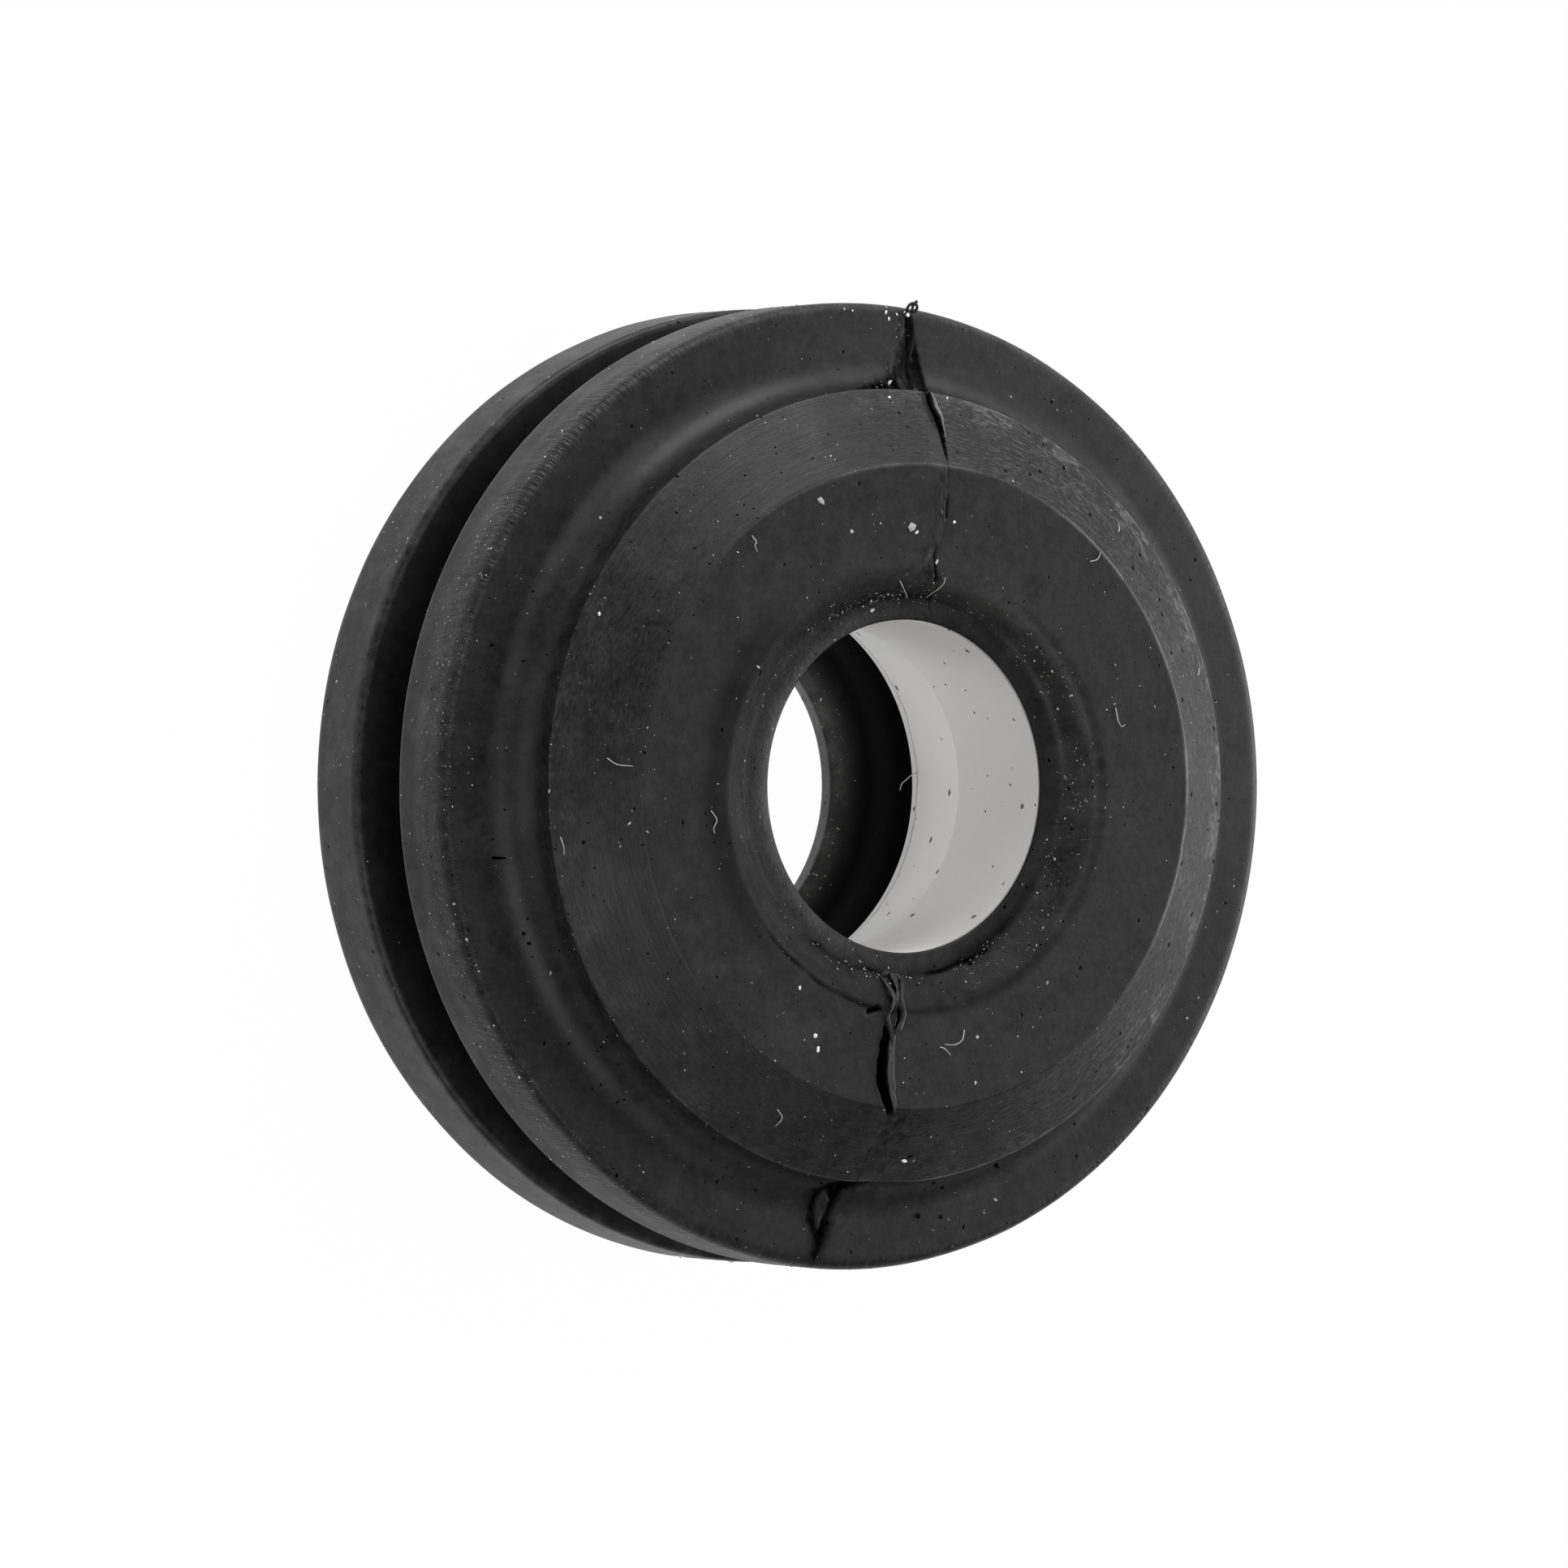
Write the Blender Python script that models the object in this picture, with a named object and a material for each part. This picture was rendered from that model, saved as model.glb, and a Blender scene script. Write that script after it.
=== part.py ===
# Control arm bushing: a moulded rubber bush with a steel sleeve bonded in its bore.
# The bush axis is +Z. The back boss face lies on z = 0 and the front boss points up.
# Units are metres.

import math

import bmesh
import bpy

# Outer form of the rubber, which is the same at the front and at the back
FLANGE_RADIUS = 0.0285
FLANGE_THICKNESS = 0.0051
GROOVE_WIDTH = 0.0052
NECK_RADIUS = 0.0205
BOSS_HEIGHT = 0.00626
BOSS_FACE_RADIUS = 0.01883
BOSS_BASE_RADIUS = 0.0233
BOSS_CHAMFER_DROP = 0.00307
BOSS_FOOT_FILLET = 0.0024
RIM_ROUND = 0.0004
GROOVE_EDGE_ROUND = 0.0002
NECK_FILLET = 0.0008

# Mouths of the bore
MOUTH_RADIUS = 0.0124
MOUTH_ROUND = 0.0006
FUNNEL_DEPTH = 0.00176
FUNNEL_FOOT_RADIUS = 0.0113
BACK_LIP_RADIUS = 0.0102
BACK_LIP_DEPTH = 0.0009
BACK_LIP_THICKNESS = 0.0009
BACK_LIP_SLOPE = 0.0006

# Thin skin of rubber that caps the sleeve's front end
SKIN_DIP = 0.00015
SKIN_THICKNESS = 0.00035

# Steel sleeve
SLEEVE_BORE_RADIUS = 0.00975
SLEEVE_WALL = 0.00205
SLEEVE_LENGTH = 0.0164
FLARE_LENGTH = 0.0080
FLARE_END_WALL = 0.00025
SEAT_GAP = 0.0003

# Flash on the parting line, where the two halves of the mould met
SEAM_ANGLE = math.radians(84.5)
FLASH_HEIGHT = 0.0003
FLASH_HALF_WIDTH = 0.0006

# Fineness of the solids
SEGMENTS = 60
ARC_STEPS = 4
ROUND_STEPS = 2

# Heights that follow from the sizes above
HALF_WIDTH = GROOVE_WIDTH / 2 + FLANGE_THICKNESS + BOSS_HEIGHT
FLANGE_FACE = GROOVE_WIDTH / 2 + FLANGE_THICKNESS
SKIN_TOP = HALF_WIDTH - FUNNEL_DEPTH - SKIN_DIP
SLEEVE_TOP = SKIN_TOP - SKIN_THICKNESS - SEAT_GAP
SLEEVE_OUTER_RADIUS = SLEEVE_BORE_RADIUS + SLEEVE_WALL
CAVITY_RADIUS = SLEEVE_OUTER_RADIUS + SEAT_GAP


def arc(centre, radius, start_deg, end_deg, steps):
    """Points of a round in the (radius, height) plane, both ends included."""
    points = []
    for step in range(steps + 1):
        angle = math.radians(start_deg + (end_deg - start_deg) * step / steps)
        points.append((centre[0] + radius * math.cos(angle), centre[1] + radius * math.sin(angle)))
    return points


def outer_half():
    """Front half of the outer form, from the mouth's round out and down to the neck."""
    mouth_centre = (MOUTH_RADIUS + MOUTH_ROUND, HALF_WIDTH - MOUTH_ROUND)
    fillet_centre = (BOSS_BASE_RADIUS + BOSS_FOOT_FILLET, FLANGE_FACE + BOSS_FOOT_FILLET)
    rim_centre = (FLANGE_RADIUS - RIM_ROUND, FLANGE_FACE - RIM_ROUND)
    edge_height = GROOVE_WIDTH / 2 + GROOVE_EDGE_ROUND
    neck_centre = (NECK_RADIUS + NECK_FILLET, GROOVE_WIDTH / 2 - NECK_FILLET)
    points = arc(mouth_centre, MOUTH_ROUND, 180, 90, ROUND_STEPS)
    points.append((BOSS_FACE_RADIUS, HALF_WIDTH))
    points.append((BOSS_BASE_RADIUS, HALF_WIDTH - BOSS_CHAMFER_DROP))
    points += arc(fillet_centre, BOSS_FOOT_FILLET, 180, 270, ARC_STEPS)
    points += arc(rim_centre, RIM_ROUND, 90, 0, ROUND_STEPS)
    points.append((FLANGE_RADIUS, edge_height))
    points.append((FLANGE_RADIUS - GROOVE_EDGE_ROUND, GROOVE_WIDTH / 2))
    points += arc(neck_centre, NECK_FILLET, 90, 180, ROUND_STEPS)
    return points


def bore_side():
    """Wall of the bore, from the back mouth up past the lip and the sleeve's seat."""
    lip_low = BACK_LIP_DEPTH - HALF_WIDTH
    lip_high = lip_low + BACK_LIP_THICKNESS
    return [
        (BACK_LIP_RADIUS, lip_low),
        (BACK_LIP_RADIUS, lip_high),
        (CAVITY_RADIUS, lip_high + BACK_LIP_SLOPE),
        (CAVITY_RADIUS, SKIN_TOP - SKIN_THICKNESS),
        (SLEEVE_BORE_RADIUS, SKIN_TOP - SKIN_THICKNESS),
        (SLEEVE_BORE_RADIUS, SKIN_TOP),
        (FUNNEL_FOOT_RADIUS, HALF_WIDTH - FUNNEL_DEPTH),
    ]


def column_angles():
    """Angles of the columns round the axis, with a narrow pair beside each seam column."""
    beside = FLASH_HALF_WIDTH / FLANGE_RADIUS
    angles = []
    for segment in range(SEGMENTS):
        angle = SEAM_ANGLE + 2 * math.pi * segment / SEGMENTS
        if segment % (SEGMENTS // 2):
            angles.append((angle, 0.0))
        else:
            angles.append((angle - beside, 0.0))
            angles.append((angle, FLASH_HEIGHT))
            angles.append((angle + beside, 0.0))
    return angles


def turned_solid(name, outer, inner, columns, mid_height):
    """Closed ring turned about +Z, whose outer points are raised by each column's flash."""
    bm = bmesh.new()
    rings = []
    for angle, flash in columns:
        radii = [(radius + flash, height) for radius, height in outer] + inner
        ring = []
        for radius, height in radii:
            place = (radius * math.cos(angle), radius * math.sin(angle), height + mid_height)
            ring.append(bm.verts.new(place))
        rings.append(ring)
    for column, ring in enumerate(rings):
        following = rings[(column + 1) % len(rings)]
        for point, vert in enumerate(ring):
            after = (point + 1) % len(ring)
            bm.faces.new((vert, ring[after], following[after], following[point]))
    bmesh.ops.recalc_face_normals(bm, faces=bm.faces)
    mesh = bpy.data.meshes.new(name)
    bm.to_mesh(mesh)
    bm.free()
    mesh.shade_smooth()
    mesh.set_sharp_from_angle(angle=math.radians(25))
    part = bpy.data.objects.new(name, mesh)
    bpy.context.collection.objects.link(part)
    return part


def plain_material(name, colour, roughness, metallic):
    """Principled material with one colour."""
    material = bpy.data.materials.new(name)
    material.use_nodes = True
    shader = material.node_tree.nodes["Principled BSDF"]
    shader.inputs["Base Color"].default_value = (*colour, 1.0)
    shader.inputs["Roughness"].default_value = roughness
    shader.inputs["Metallic"].default_value = metallic
    return material


def make_rubber_bush():
    """Rubber body: two flanges with a groove between them, and a boss on each flange."""
    front = outer_half()
    back = [(radius, -height) for radius, height in reversed(front)]
    bush = turned_solid("rubber_bush", front + back, bore_side(), column_angles(), HALF_WIDTH)
    bush.data.materials.append(plain_material("black_rubber", (0.025, 0.025, 0.026), 0.62, 0.0))
    return bush


def make_inner_sleeve():
    """Steel sleeve in the bore, with a long flare towards its rear end."""
    rear = SLEEVE_TOP - SLEEVE_LENGTH
    flare_start = rear + FLARE_LENGTH
    wall = [(SLEEVE_OUTER_RADIUS, SLEEVE_TOP), (SLEEVE_OUTER_RADIUS, rear)]
    bore = [
        (SLEEVE_OUTER_RADIUS - FLARE_END_WALL, rear),
        (SLEEVE_BORE_RADIUS, flare_start),
        (SLEEVE_BORE_RADIUS, SLEEVE_TOP),
    ]
    columns = [(2 * math.pi * segment / SEGMENTS, 0.0) for segment in range(SEGMENTS)]
    sleeve = turned_solid("inner_sleeve", wall, bore, columns, HALF_WIDTH)
    sleeve.data.materials.append(plain_material("satin_steel", (0.62, 0.62, 0.60), 0.38, 1.0))
    return sleeve


for leftover in list(bpy.data.objects):
    bpy.data.objects.remove(leftover, do_unlink=True)

make_rubber_bush()
make_inner_sleeve()
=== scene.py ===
# %% [markdown]
# # Dressing a control arm bushing
#
# A control arm bushing is a block of black rubber with a steel sleeve bonded in its bore. It lets a
# car's suspension arm turn and give a little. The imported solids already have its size, so this
# lesson adds what the mould, its tool marks, wear and dust left on it.

import math

import bpy
import numpy as np
from mathutils import Matrix, Vector


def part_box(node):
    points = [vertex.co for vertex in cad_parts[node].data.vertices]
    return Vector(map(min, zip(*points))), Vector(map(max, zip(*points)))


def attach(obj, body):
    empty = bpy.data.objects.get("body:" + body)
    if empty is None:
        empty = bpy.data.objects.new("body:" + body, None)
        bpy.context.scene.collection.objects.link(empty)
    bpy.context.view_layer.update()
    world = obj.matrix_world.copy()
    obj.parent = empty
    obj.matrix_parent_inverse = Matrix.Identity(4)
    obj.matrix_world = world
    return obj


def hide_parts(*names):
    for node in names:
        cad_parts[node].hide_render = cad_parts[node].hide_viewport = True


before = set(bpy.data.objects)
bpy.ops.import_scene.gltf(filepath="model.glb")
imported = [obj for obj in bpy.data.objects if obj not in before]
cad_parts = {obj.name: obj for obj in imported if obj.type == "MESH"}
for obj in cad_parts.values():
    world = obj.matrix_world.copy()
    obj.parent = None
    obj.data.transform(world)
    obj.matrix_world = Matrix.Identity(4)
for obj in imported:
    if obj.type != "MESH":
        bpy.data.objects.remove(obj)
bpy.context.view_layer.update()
print("nodes:", sorted(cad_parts))

# %% [markdown]
# ## Sizes
#
# The bushing stands on its back boss with its axis along Z, and is the same above and below its
# middle plane. Heights are therefore counted from the middle of the groove. A few sizes drive the
# whole profile, and everything else is worked out from them.

# %% Sizes of the rubber and the sleeve
MM = 0.001
FLANGE_RADIUS = 28.5 * MM
FLANGE_THICKNESS = 5.1 * MM
GROOVE_WIDTH = 5.2 * MM
NECK_RADIUS = 20.5 * MM
NECK_FILLET = 0.8 * MM
RIM_ROUND = 0.9 * MM
BOSS_HEIGHT = 6.26 * MM
BOSS_FACE_RADIUS = 18.83 * MM
BOSS_BASE_RADIUS = 23.3 * MM
BOSS_CHAMFER_DROP = 3.07 * MM
BOSS_FOOT_FILLET = 2.4 * MM
MOUTH_RADIUS = 12.75 * MM
MOUTH_ROUND = 1.6 * MM
FUNNEL_FOOT_RADIUS = 11.05 * MM
FUNNEL_FOOT_DEPTH = 1.7 * MM
SKIN_EDGE_DEPTH = 1.91 * MM
SKIN_THICKNESS = 0.35 * MM
BACK_LIP_RADIUS = 10.2 * MM
BACK_LIP_DEPTH = 0.65 * MM
BACK_LIP_THICKNESS = 1.1 * MM
CAVITY_RADIUS = 12.1 * MM
SLEEVE_BORE_RADIUS = 9.75 * MM
SLEEVE_LENGTH = 16.4 * MM
FLARE_LENGTH = 8.0 * MM
FLARE_END_WALL = 0.25 * MM
SEAT_GAP = 0.3 * MM

# %% Heights that follow from the sizes
low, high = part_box("rubber_bush")
MIDDLE = (low[2] + high[2]) / 2
HALF_WIDTH = GROOVE_WIDTH / 2 + FLANGE_THICKNESS + BOSS_HEIGHT
FLANGE_FACE = GROOVE_WIDTH / 2 + FLANGE_THICKNESS
CHAMFER_FOOT = HALF_WIDTH - BOSS_CHAMFER_DROP
SKIN_TOP = HALF_WIDTH - SKIN_EDGE_DEPTH
UNDER_SKIN = SKIN_TOP - SKIN_THICKNESS
SLEEVE_REAR = UNDER_SKIN - SEAT_GAP - SLEEVE_LENGTH
SEAM_ANGLE = math.radians(84.5)
print("half width", round(HALF_WIDTH / MM, 2), "mm, middle plane at", round(MIDDLE / MM, 2), "mm")

# %% [markdown]
# ## The profile, walked from the bore outwards
#
# A mould for a round part is turned on a lathe, so its section is straight cuts and small rounds.
# The profile is walked in the same way: each helper adds the next cut or round as a row of points.
# Sharp corners of real rubber are never quite sharp, so each gets a round of a tenth of a
# millimetre. That round is what catches the light as a thin bright line.

# %% Straight cuts and rounds
EDGE_ROUND = 0.1 * MM


def cut(start, end, spacing):
    """Points from start towards end, about one each spacing, without the last."""
    count = max(1, round(math.dist(start, end) / spacing))
    return [tuple(np.add(start, np.subtract(end, start) * number / count)) for number in range(count)]


def arc(centre, radius, first, last, steps):
    """Points of a round from the first to the last angle in degrees, without the last."""
    angles = np.radians(np.linspace(first, last, steps + 1)[:-1])
    return [(centre[0] + radius * math.cos(a), centre[1] + radius * math.sin(a)) for a in angles]


def rounded(before, corner, after, radius, steps=4):
    """Points of a small round that replaces the corner between two straight cuts."""
    corner = np.array(corner)
    to_before = np.array(before) - corner
    to_after = np.array(after) - corner
    to_before /= np.linalg.norm(to_before)
    to_after /= np.linalg.norm(to_after)
    half = math.acos(float(np.clip(to_before @ to_after, -1, 1))) / 2
    reach = radius / math.tan(half)
    start = corner + to_before * reach
    end = corner + to_after * reach
    points = []
    for share in np.linspace(0, 1, steps + 1):
        points.append(tuple(start * (1 - share) ** 2 + corner * 2 * share * (1 - share) + end * share**2))
    return points


# %% Walk the front half
def skin_edge():
    """Round the edge of the thin rubber skin that laps over the sleeve's front end."""
    centre = (SLEEVE_BORE_RADIUS + SKIN_THICKNESS / 2, SKIN_TOP - SKIN_THICKNESS / 2)
    points = [(CAVITY_RADIUS, UNDER_SKIN)]
    return points + arc(centre, SKIN_THICKNESS / 2, 270, 90, 6)


def front_boss():
    """Up the funnel of the bore's mouth, across the face and down the chamfer to the boss's wall."""
    skin_start = (SLEEVE_BORE_RADIUS + SKIN_THICKNESS / 2, SKIN_TOP)
    foot = (FUNNEL_FOOT_RADIUS, HALF_WIDTH - FUNNEL_FOOT_DEPTH)
    mouth = (MOUTH_RADIUS, HALF_WIDTH)
    face_edge = (BOSS_FACE_RADIUS, HALF_WIDTH)
    base_edge = (BOSS_BASE_RADIUS, CHAMFER_FOOT)
    wall_end = (BOSS_BASE_RADIUS, CHAMFER_FOOT - 0.3 * MM)
    foot_round = rounded(skin_start, foot, mouth, 1.0 * MM)
    mouth_round = rounded(foot, mouth, face_edge, MOUTH_ROUND, 8)
    face_round = rounded(mouth, face_edge, base_edge, EDGE_ROUND)
    base_round = rounded(face_edge, base_edge, wall_end, EDGE_ROUND)
    points = cut(skin_start, foot_round[0], 0.12 * MM) + foot_round[:-1]
    points += cut(foot_round[-1], mouth_round[0], 0.12 * MM) + mouth_round[:-1]
    points += cut(mouth_round[-1], face_round[0], 0.14 * MM) + face_round[:-1]
    return points + cut(face_round[-1], base_round[0], 0.12 * MM) + base_round


# %% Walk the flange and the side of the groove
def flange(groove_edge_round):
    """Down the boss's wall, round the fillet and over the flange's rim to the groove's edge."""
    fillet_centre = (BOSS_BASE_RADIUS + BOSS_FOOT_FILLET, FLANGE_FACE + BOSS_FOOT_FILLET)
    face_corner = (FLANGE_RADIUS, FLANGE_FACE)
    groove_corner = (FLANGE_RADIUS, GROOVE_WIDTH / 2)
    groove_wall = (NECK_RADIUS, GROOVE_WIDTH / 2)
    rim_round = rounded((fillet_centre[0], FLANGE_FACE), face_corner, groove_corner, RIM_ROUND, 9)
    edge_round = rounded(face_corner, groove_corner, groove_wall, groove_edge_round)
    wall_start = (BOSS_BASE_RADIUS, CHAMFER_FOOT - 0.12 * MM)
    points = cut(wall_start, (BOSS_BASE_RADIUS, fillet_centre[1]), 0.1 * MM)
    points += arc(fillet_centre, BOSS_FOOT_FILLET, 180, 270, 30)
    points += cut((fillet_centre[0], FLANGE_FACE), rim_round[0], 0.13 * MM) + rim_round[:-1]
    return points + cut(rim_round[-1], edge_round[0], 0.2 * MM) + edge_round


def groove_side(groove_edge_round):
    """From the groove's edge down its wall and round the neck's fillet to the middle plane."""
    neck_centre = (NECK_RADIUS + NECK_FILLET, GROOVE_WIDTH / 2 - NECK_FILLET)
    wall_start = (FLANGE_RADIUS - groove_edge_round * 1.4, GROOVE_WIDTH / 2)
    points = cut(wall_start, (neck_centre[0], GROOVE_WIDTH / 2), 0.4 * MM)
    points += arc(neck_centre, NECK_FILLET, 90, 180, 5)
    return points + cut((NECK_RADIUS, neck_centre[1]), (NECK_RADIUS, 0), 0.6 * MM)


# %% Mirror the outer form and walk back up the bore
def mirrored(rows):
    """The same rows on the other side of the middle plane, walked the other way."""
    return [(radius, -height) for radius, height in reversed(rows)]


def back_bore():
    """From the back mouth in past the soft lip and up the dark hollow behind the sleeve."""
    mouth = (MOUTH_RADIUS - 0.4 * MM, 0.3 * MM - HALF_WIDTH)
    lip_low = (BACK_LIP_RADIUS, BACK_LIP_DEPTH - HALF_WIDTH)
    lip_high = (BACK_LIP_RADIUS, lip_low[1] + BACK_LIP_THICKNESS)
    hollow = (CAVITY_RADIUS, lip_high[1] + 1.6 * MM)
    lip_round = rounded(mouth, lip_low, lip_high, 0.2 * MM)
    inner_round = rounded(lip_low, lip_high, hollow, 0.3 * MM)
    points = cut(mouth, lip_round[0], 0.2 * MM) + lip_round[:-1]
    points += cut(lip_round[-1], inner_round[0], 0.2 * MM) + inner_round[:-1]
    points += cut(inner_round[-1], hollow, 0.3 * MM)
    return points + cut(hollow, (CAVITY_RADIUS, UNDER_SKIN), 1.2 * MM) + [(CAVITY_RADIUS, UNDER_SKIN)]


SOFT_GROOVE_EDGE = 0.45 * MM
front_rows = front_boss()
face_rows = [row for row in front_rows if row[0] > MOUTH_RADIUS - 0.2 * MM]
sections = {
    "front_boss": skin_edge() + front_rows,
    "front_flange": flange(EDGE_ROUND),
    "groove": groove_side(EDGE_ROUND) + [(NECK_RADIUS, 0.0)] + mirrored(groove_side(SOFT_GROOVE_EDGE)),
    "back_flange": mirrored(flange(SOFT_GROOVE_EDGE)),
    "back_boss": mirrored(face_rows),
    "bore_wall": back_bore(),
}
profile = np.array([row for rows in sections.values() for row in rows])
print("profile rows:", {name: len(rows) for name, rows in sections.items()})

# %% [markdown]
# ## Columns round the axis
#
# A turned form repeats one profile at many angles. The mould for this bushing opened along a plane
# through the axis, and the rubber tore and squeezed out where its halves met. The columns are
# therefore crowded near that parting line and wide apart elsewhere, which spends the triangles
# where there is something to show.

# %% Columns, crowded beside the parting line
FINE_BAND = math.radians(9.0)
FINE_COLUMNS = 130
COARSE_COLUMNS = 200


def column_angles():
    """Angles round the axis, counted from the top of the parting line."""
    fine = np.linspace(-FINE_BAND, FINE_BAND, FINE_COLUMNS, endpoint=False)
    coarse = np.linspace(FINE_BAND, math.pi - FINE_BAND, COARSE_COLUMNS, endpoint=False)
    half = np.concatenate([fine, coarse])
    return SEAM_ANGLE + np.concatenate([half, half + math.pi])


columns = column_angles()
print("columns:", len(columns))

# %% [markdown]
# ## Numbers that vary smoothly
#
# Moulded rubber is never perfectly even. A lattice of random numbers, blended smoothly between its
# points, gives bumps of any chosen width. The seed is fixed, so each run makes the same bushing.

# %% Smooth noise and smooth steps
def soft_noise(points, width, seed):
    """Smooth random values from -1 to 1 at points in space, in bumps about as wide as width."""
    lattice = np.random.default_rng(seed).uniform(-1, 1, (32, 32, 32))
    scaled = points / width
    cell = np.floor(scaled).astype(int)
    share = scaled - cell
    share = share * share * (3 - 2 * share)
    value = np.zeros(points.shape[:-1])
    for corner in np.ndindex(2, 2, 2):
        place = (cell + corner) % 32
        weight = np.prod(np.where(corner, share, 1 - share), axis=-1)
        value += weight * lattice[place[..., 0], place[..., 1], place[..., 2]]
    return value


def rise(value, start, end):
    """0 before start, 1 after end, and a smooth rise between them."""
    share = np.clip((value - start) / (end - start), 0, 1)
    return share * share * (3 - 2 * share)


def fall(value, start, end):
    """1 before start, 0 after end, and a smooth fall between them."""
    return 1 - rise(value, start, end)


def hump(value, middle, width):
    """1 at the middle, falling smoothly to 0 at about one width on either side."""
    return np.exp(-(((value - middle) / (width * 0.6)) ** 2))


# %% [markdown]
# ## The parting line and its tears
#
# Places beside the parting line are given by two distances: along it from the axis, positive
# towards the top, and across it, positive towards the right. Each tear is a patch between a left
# and a right edge, which wander by a few tenths of a millimetre, so the torn rubber looks ragged.

# %% Distances along and across the parting line
def along_and_across(points):
    """Distances along and across the parting plane, in millimetres."""
    along = points[..., 0] * math.cos(SEAM_ANGLE) + points[..., 1] * math.sin(SEAM_ANGLE)
    across = points[..., 0] * math.sin(SEAM_ANGLE) - points[..., 1] * math.cos(SEAM_ANGLE)
    return along / MM, across / MM


# %% The parting line and its tears, as listed places
# Places (along, across) that the parting line wanders through
SEAM_WANDER = (
    (-28.5, -0.2), (-27.3, 0.1), (-25.0, 0.5), (-23.6, 0.4), (-22.5, 0.2), (-21.5, 0.1), (-20.5, 0.3),
    (-19.4, 0.45), (-18.2, 0.2), (-17.4, -0.1), (-15.3, -0.3), (-14.2, -0.5), (-13.3, -0.3), (-11.2, 0.4),
    (11.0, 0.45), (12.4, 0.45), (12.8, 0.0), (13.5, -0.3), (14.0, -0.42), (14.5, -0.15), (15.7, 0.0),
    (16.9, -0.06), (18.8, -0.2), (19.6, -0.1), (20.5, 0.1), (21.6, 0.05), (22.2, -0.1), (23.2, 0.0),
    (24.4, 0.3), (28.5, -0.05),
)

# Each tear: (distance along, left edge, right edge) from one end to the other
TOP_FOOT_TEAR = (
    (22.95, -4.1, -0.6), (23.3, -3.3, 0.4), (23.65, -2.3, 1.0), (24.0, -1.6, 1.2), (24.35, -1.1, 1.2),
    (24.8, -0.7, 1.1), (25.4, -0.35, 0.9), (26.1, -0.22, 0.65), (26.9, -0.2, 0.4), (27.5, -0.2, 0.22),
    (28.2, -0.15, 0.05),
)
TOP_CHAMFER_SPLIT = (
    (19.4, -0.1, -0.06), (20.5, -0.04, 0.08), (21.2, -0.02, 0.14), (21.8, -0.1, 0.1), (22.3, -0.2, -0.02),
    (22.7, -0.24, -0.12), (23.15, -0.2, -0.12),
)
# A corner of the top tear that gets only painted shade, without any form
PAINTED_SHADE_CORNER = ((22.95, -4.1, -1.5), (23.3, -3.3, -1.2), (23.65, -2.3, -0.9), (24.1, -1.6, -0.9))
BOTTOM_FACE_SPLIT = (
    (-19.2, 0.2, 0.5), (-18.9, -0.1, 0.45), (-18.6, -0.38, 0.3), (-18.1, -0.6, 0.15), (-17.6, -0.84, -0.1),
    (-16.5, -0.97, -0.25), (-15.4, -0.88, -0.3), (-14.6, -0.75, -0.35), (-14.1, -0.65, -0.5),
)
BOTTOM_FOOT_TEAR = (
    (-28.0, -0.25, -0.05), (-27.4, -0.1, 0.2), (-26.9, -0.15, 0.4), (-26.4, -0.35, 0.5),
    (-25.8, -0.67, 0.65), (-25.1, -0.9, 0.63), (-24.5, -0.9, 0.8), (-23.95, -0.8, 0.86),
    (-23.6, -0.35, 1.6), (-23.2, 0.5, 2.1),
)
LOOSE_CRUMB = (
    (-26.2, -0.2, 0.0), (-25.6, -0.35, 0.1), (-25.1, -0.45, 0.24), (-24.5, -0.5, 0.3), (-24.1, -0.42, -0.05),
)


# %% A tear as a patch between two edges
def patch(along, across, edges, softness, wander=0.0, grown=(0.0, 0.0)):
    """1 inside a tear and 0 outside it; softness and growth are for its left and right border."""
    stops = np.array(edges)
    left = np.interp(along, stops[:, 0], stops[:, 1]) + wander - grown[0]
    right = np.interp(along, stops[:, 0], stops[:, 2]) + wander * 0.5 + grown[1]
    inside = rise(across, left - softness[0], left + softness[0])
    inside = inside * fall(across, right - softness[1], right + softness[1])
    start, end = stops[0, 0], stops[-1, 0]
    return inside * rise(along, start - 0.2, start + 0.1) * fall(along, end - 0.1, end + 0.2)


# %% Cracks
# Cracks too thin for a patch, each as (width, depth) and its places (along, across)
CRACKS = (
    (0.3, 0.04, ((14.0, -0.45), (13.5, -0.6), (13.0, -0.85), (12.5, -1.1))),
    (0.1, 0.16, ((13.9, -0.4), (13.4, -0.3), (12.9, -0.15), (12.5, 0.1), (12.2, 0.2))),
    (0.2, 0.35, ((-12.85, -1.1), (-13.0, -1.4), (-13.2, -1.8))),
    (0.1, 0.15, ((16.9, 0.0), (16.3, -0.02), (15.8, 0.05))),
    (0.12, 0.3, ((-12.8, 0.3), (-13.4, 0.3), (-13.9, 0.2), (-14.4, -0.25))),
    (0.35, 0.05, ((-19.3, 0.1), (-20.0, 0.5), (-20.6, 0.3), (-21.3, 0.45))),
    (0.3, 0.05, ((-19.6, 0.9), (-20.3, 1.2), (-20.8, 0.9), (-20.2, 0.6))),
)

# Painted soft shade beside the splits, where the rubber dips too gently to show as a form
SOFT_SHADES = (
    ((23.2, -0.5), (22.6, -0.4), (22.0, -0.2), (21.4, -0.1)),
    ((-18.6, -0.6), (-17.5, -0.95), (-16.4, -1.1), (-15.2, -0.95)),
)


def crack(along, across, places, width):
    """1 on a thin crooked line and 0 away from it."""
    nearest = np.full(along.shape, 99.0)
    for start, end in zip(places[:-1], places[1:]):
        run = np.subtract(end, start)
        share = np.clip(((along - start[0]) * run[0] + (across - start[1]) * run[1]) / (run @ run), 0, 1)
        gap = np.hypot(along - start[0] - share * run[0], across - start[1] - share * run[1])
        nearest = np.minimum(nearest, gap)
    return hump(nearest, 0.0, width)


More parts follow.
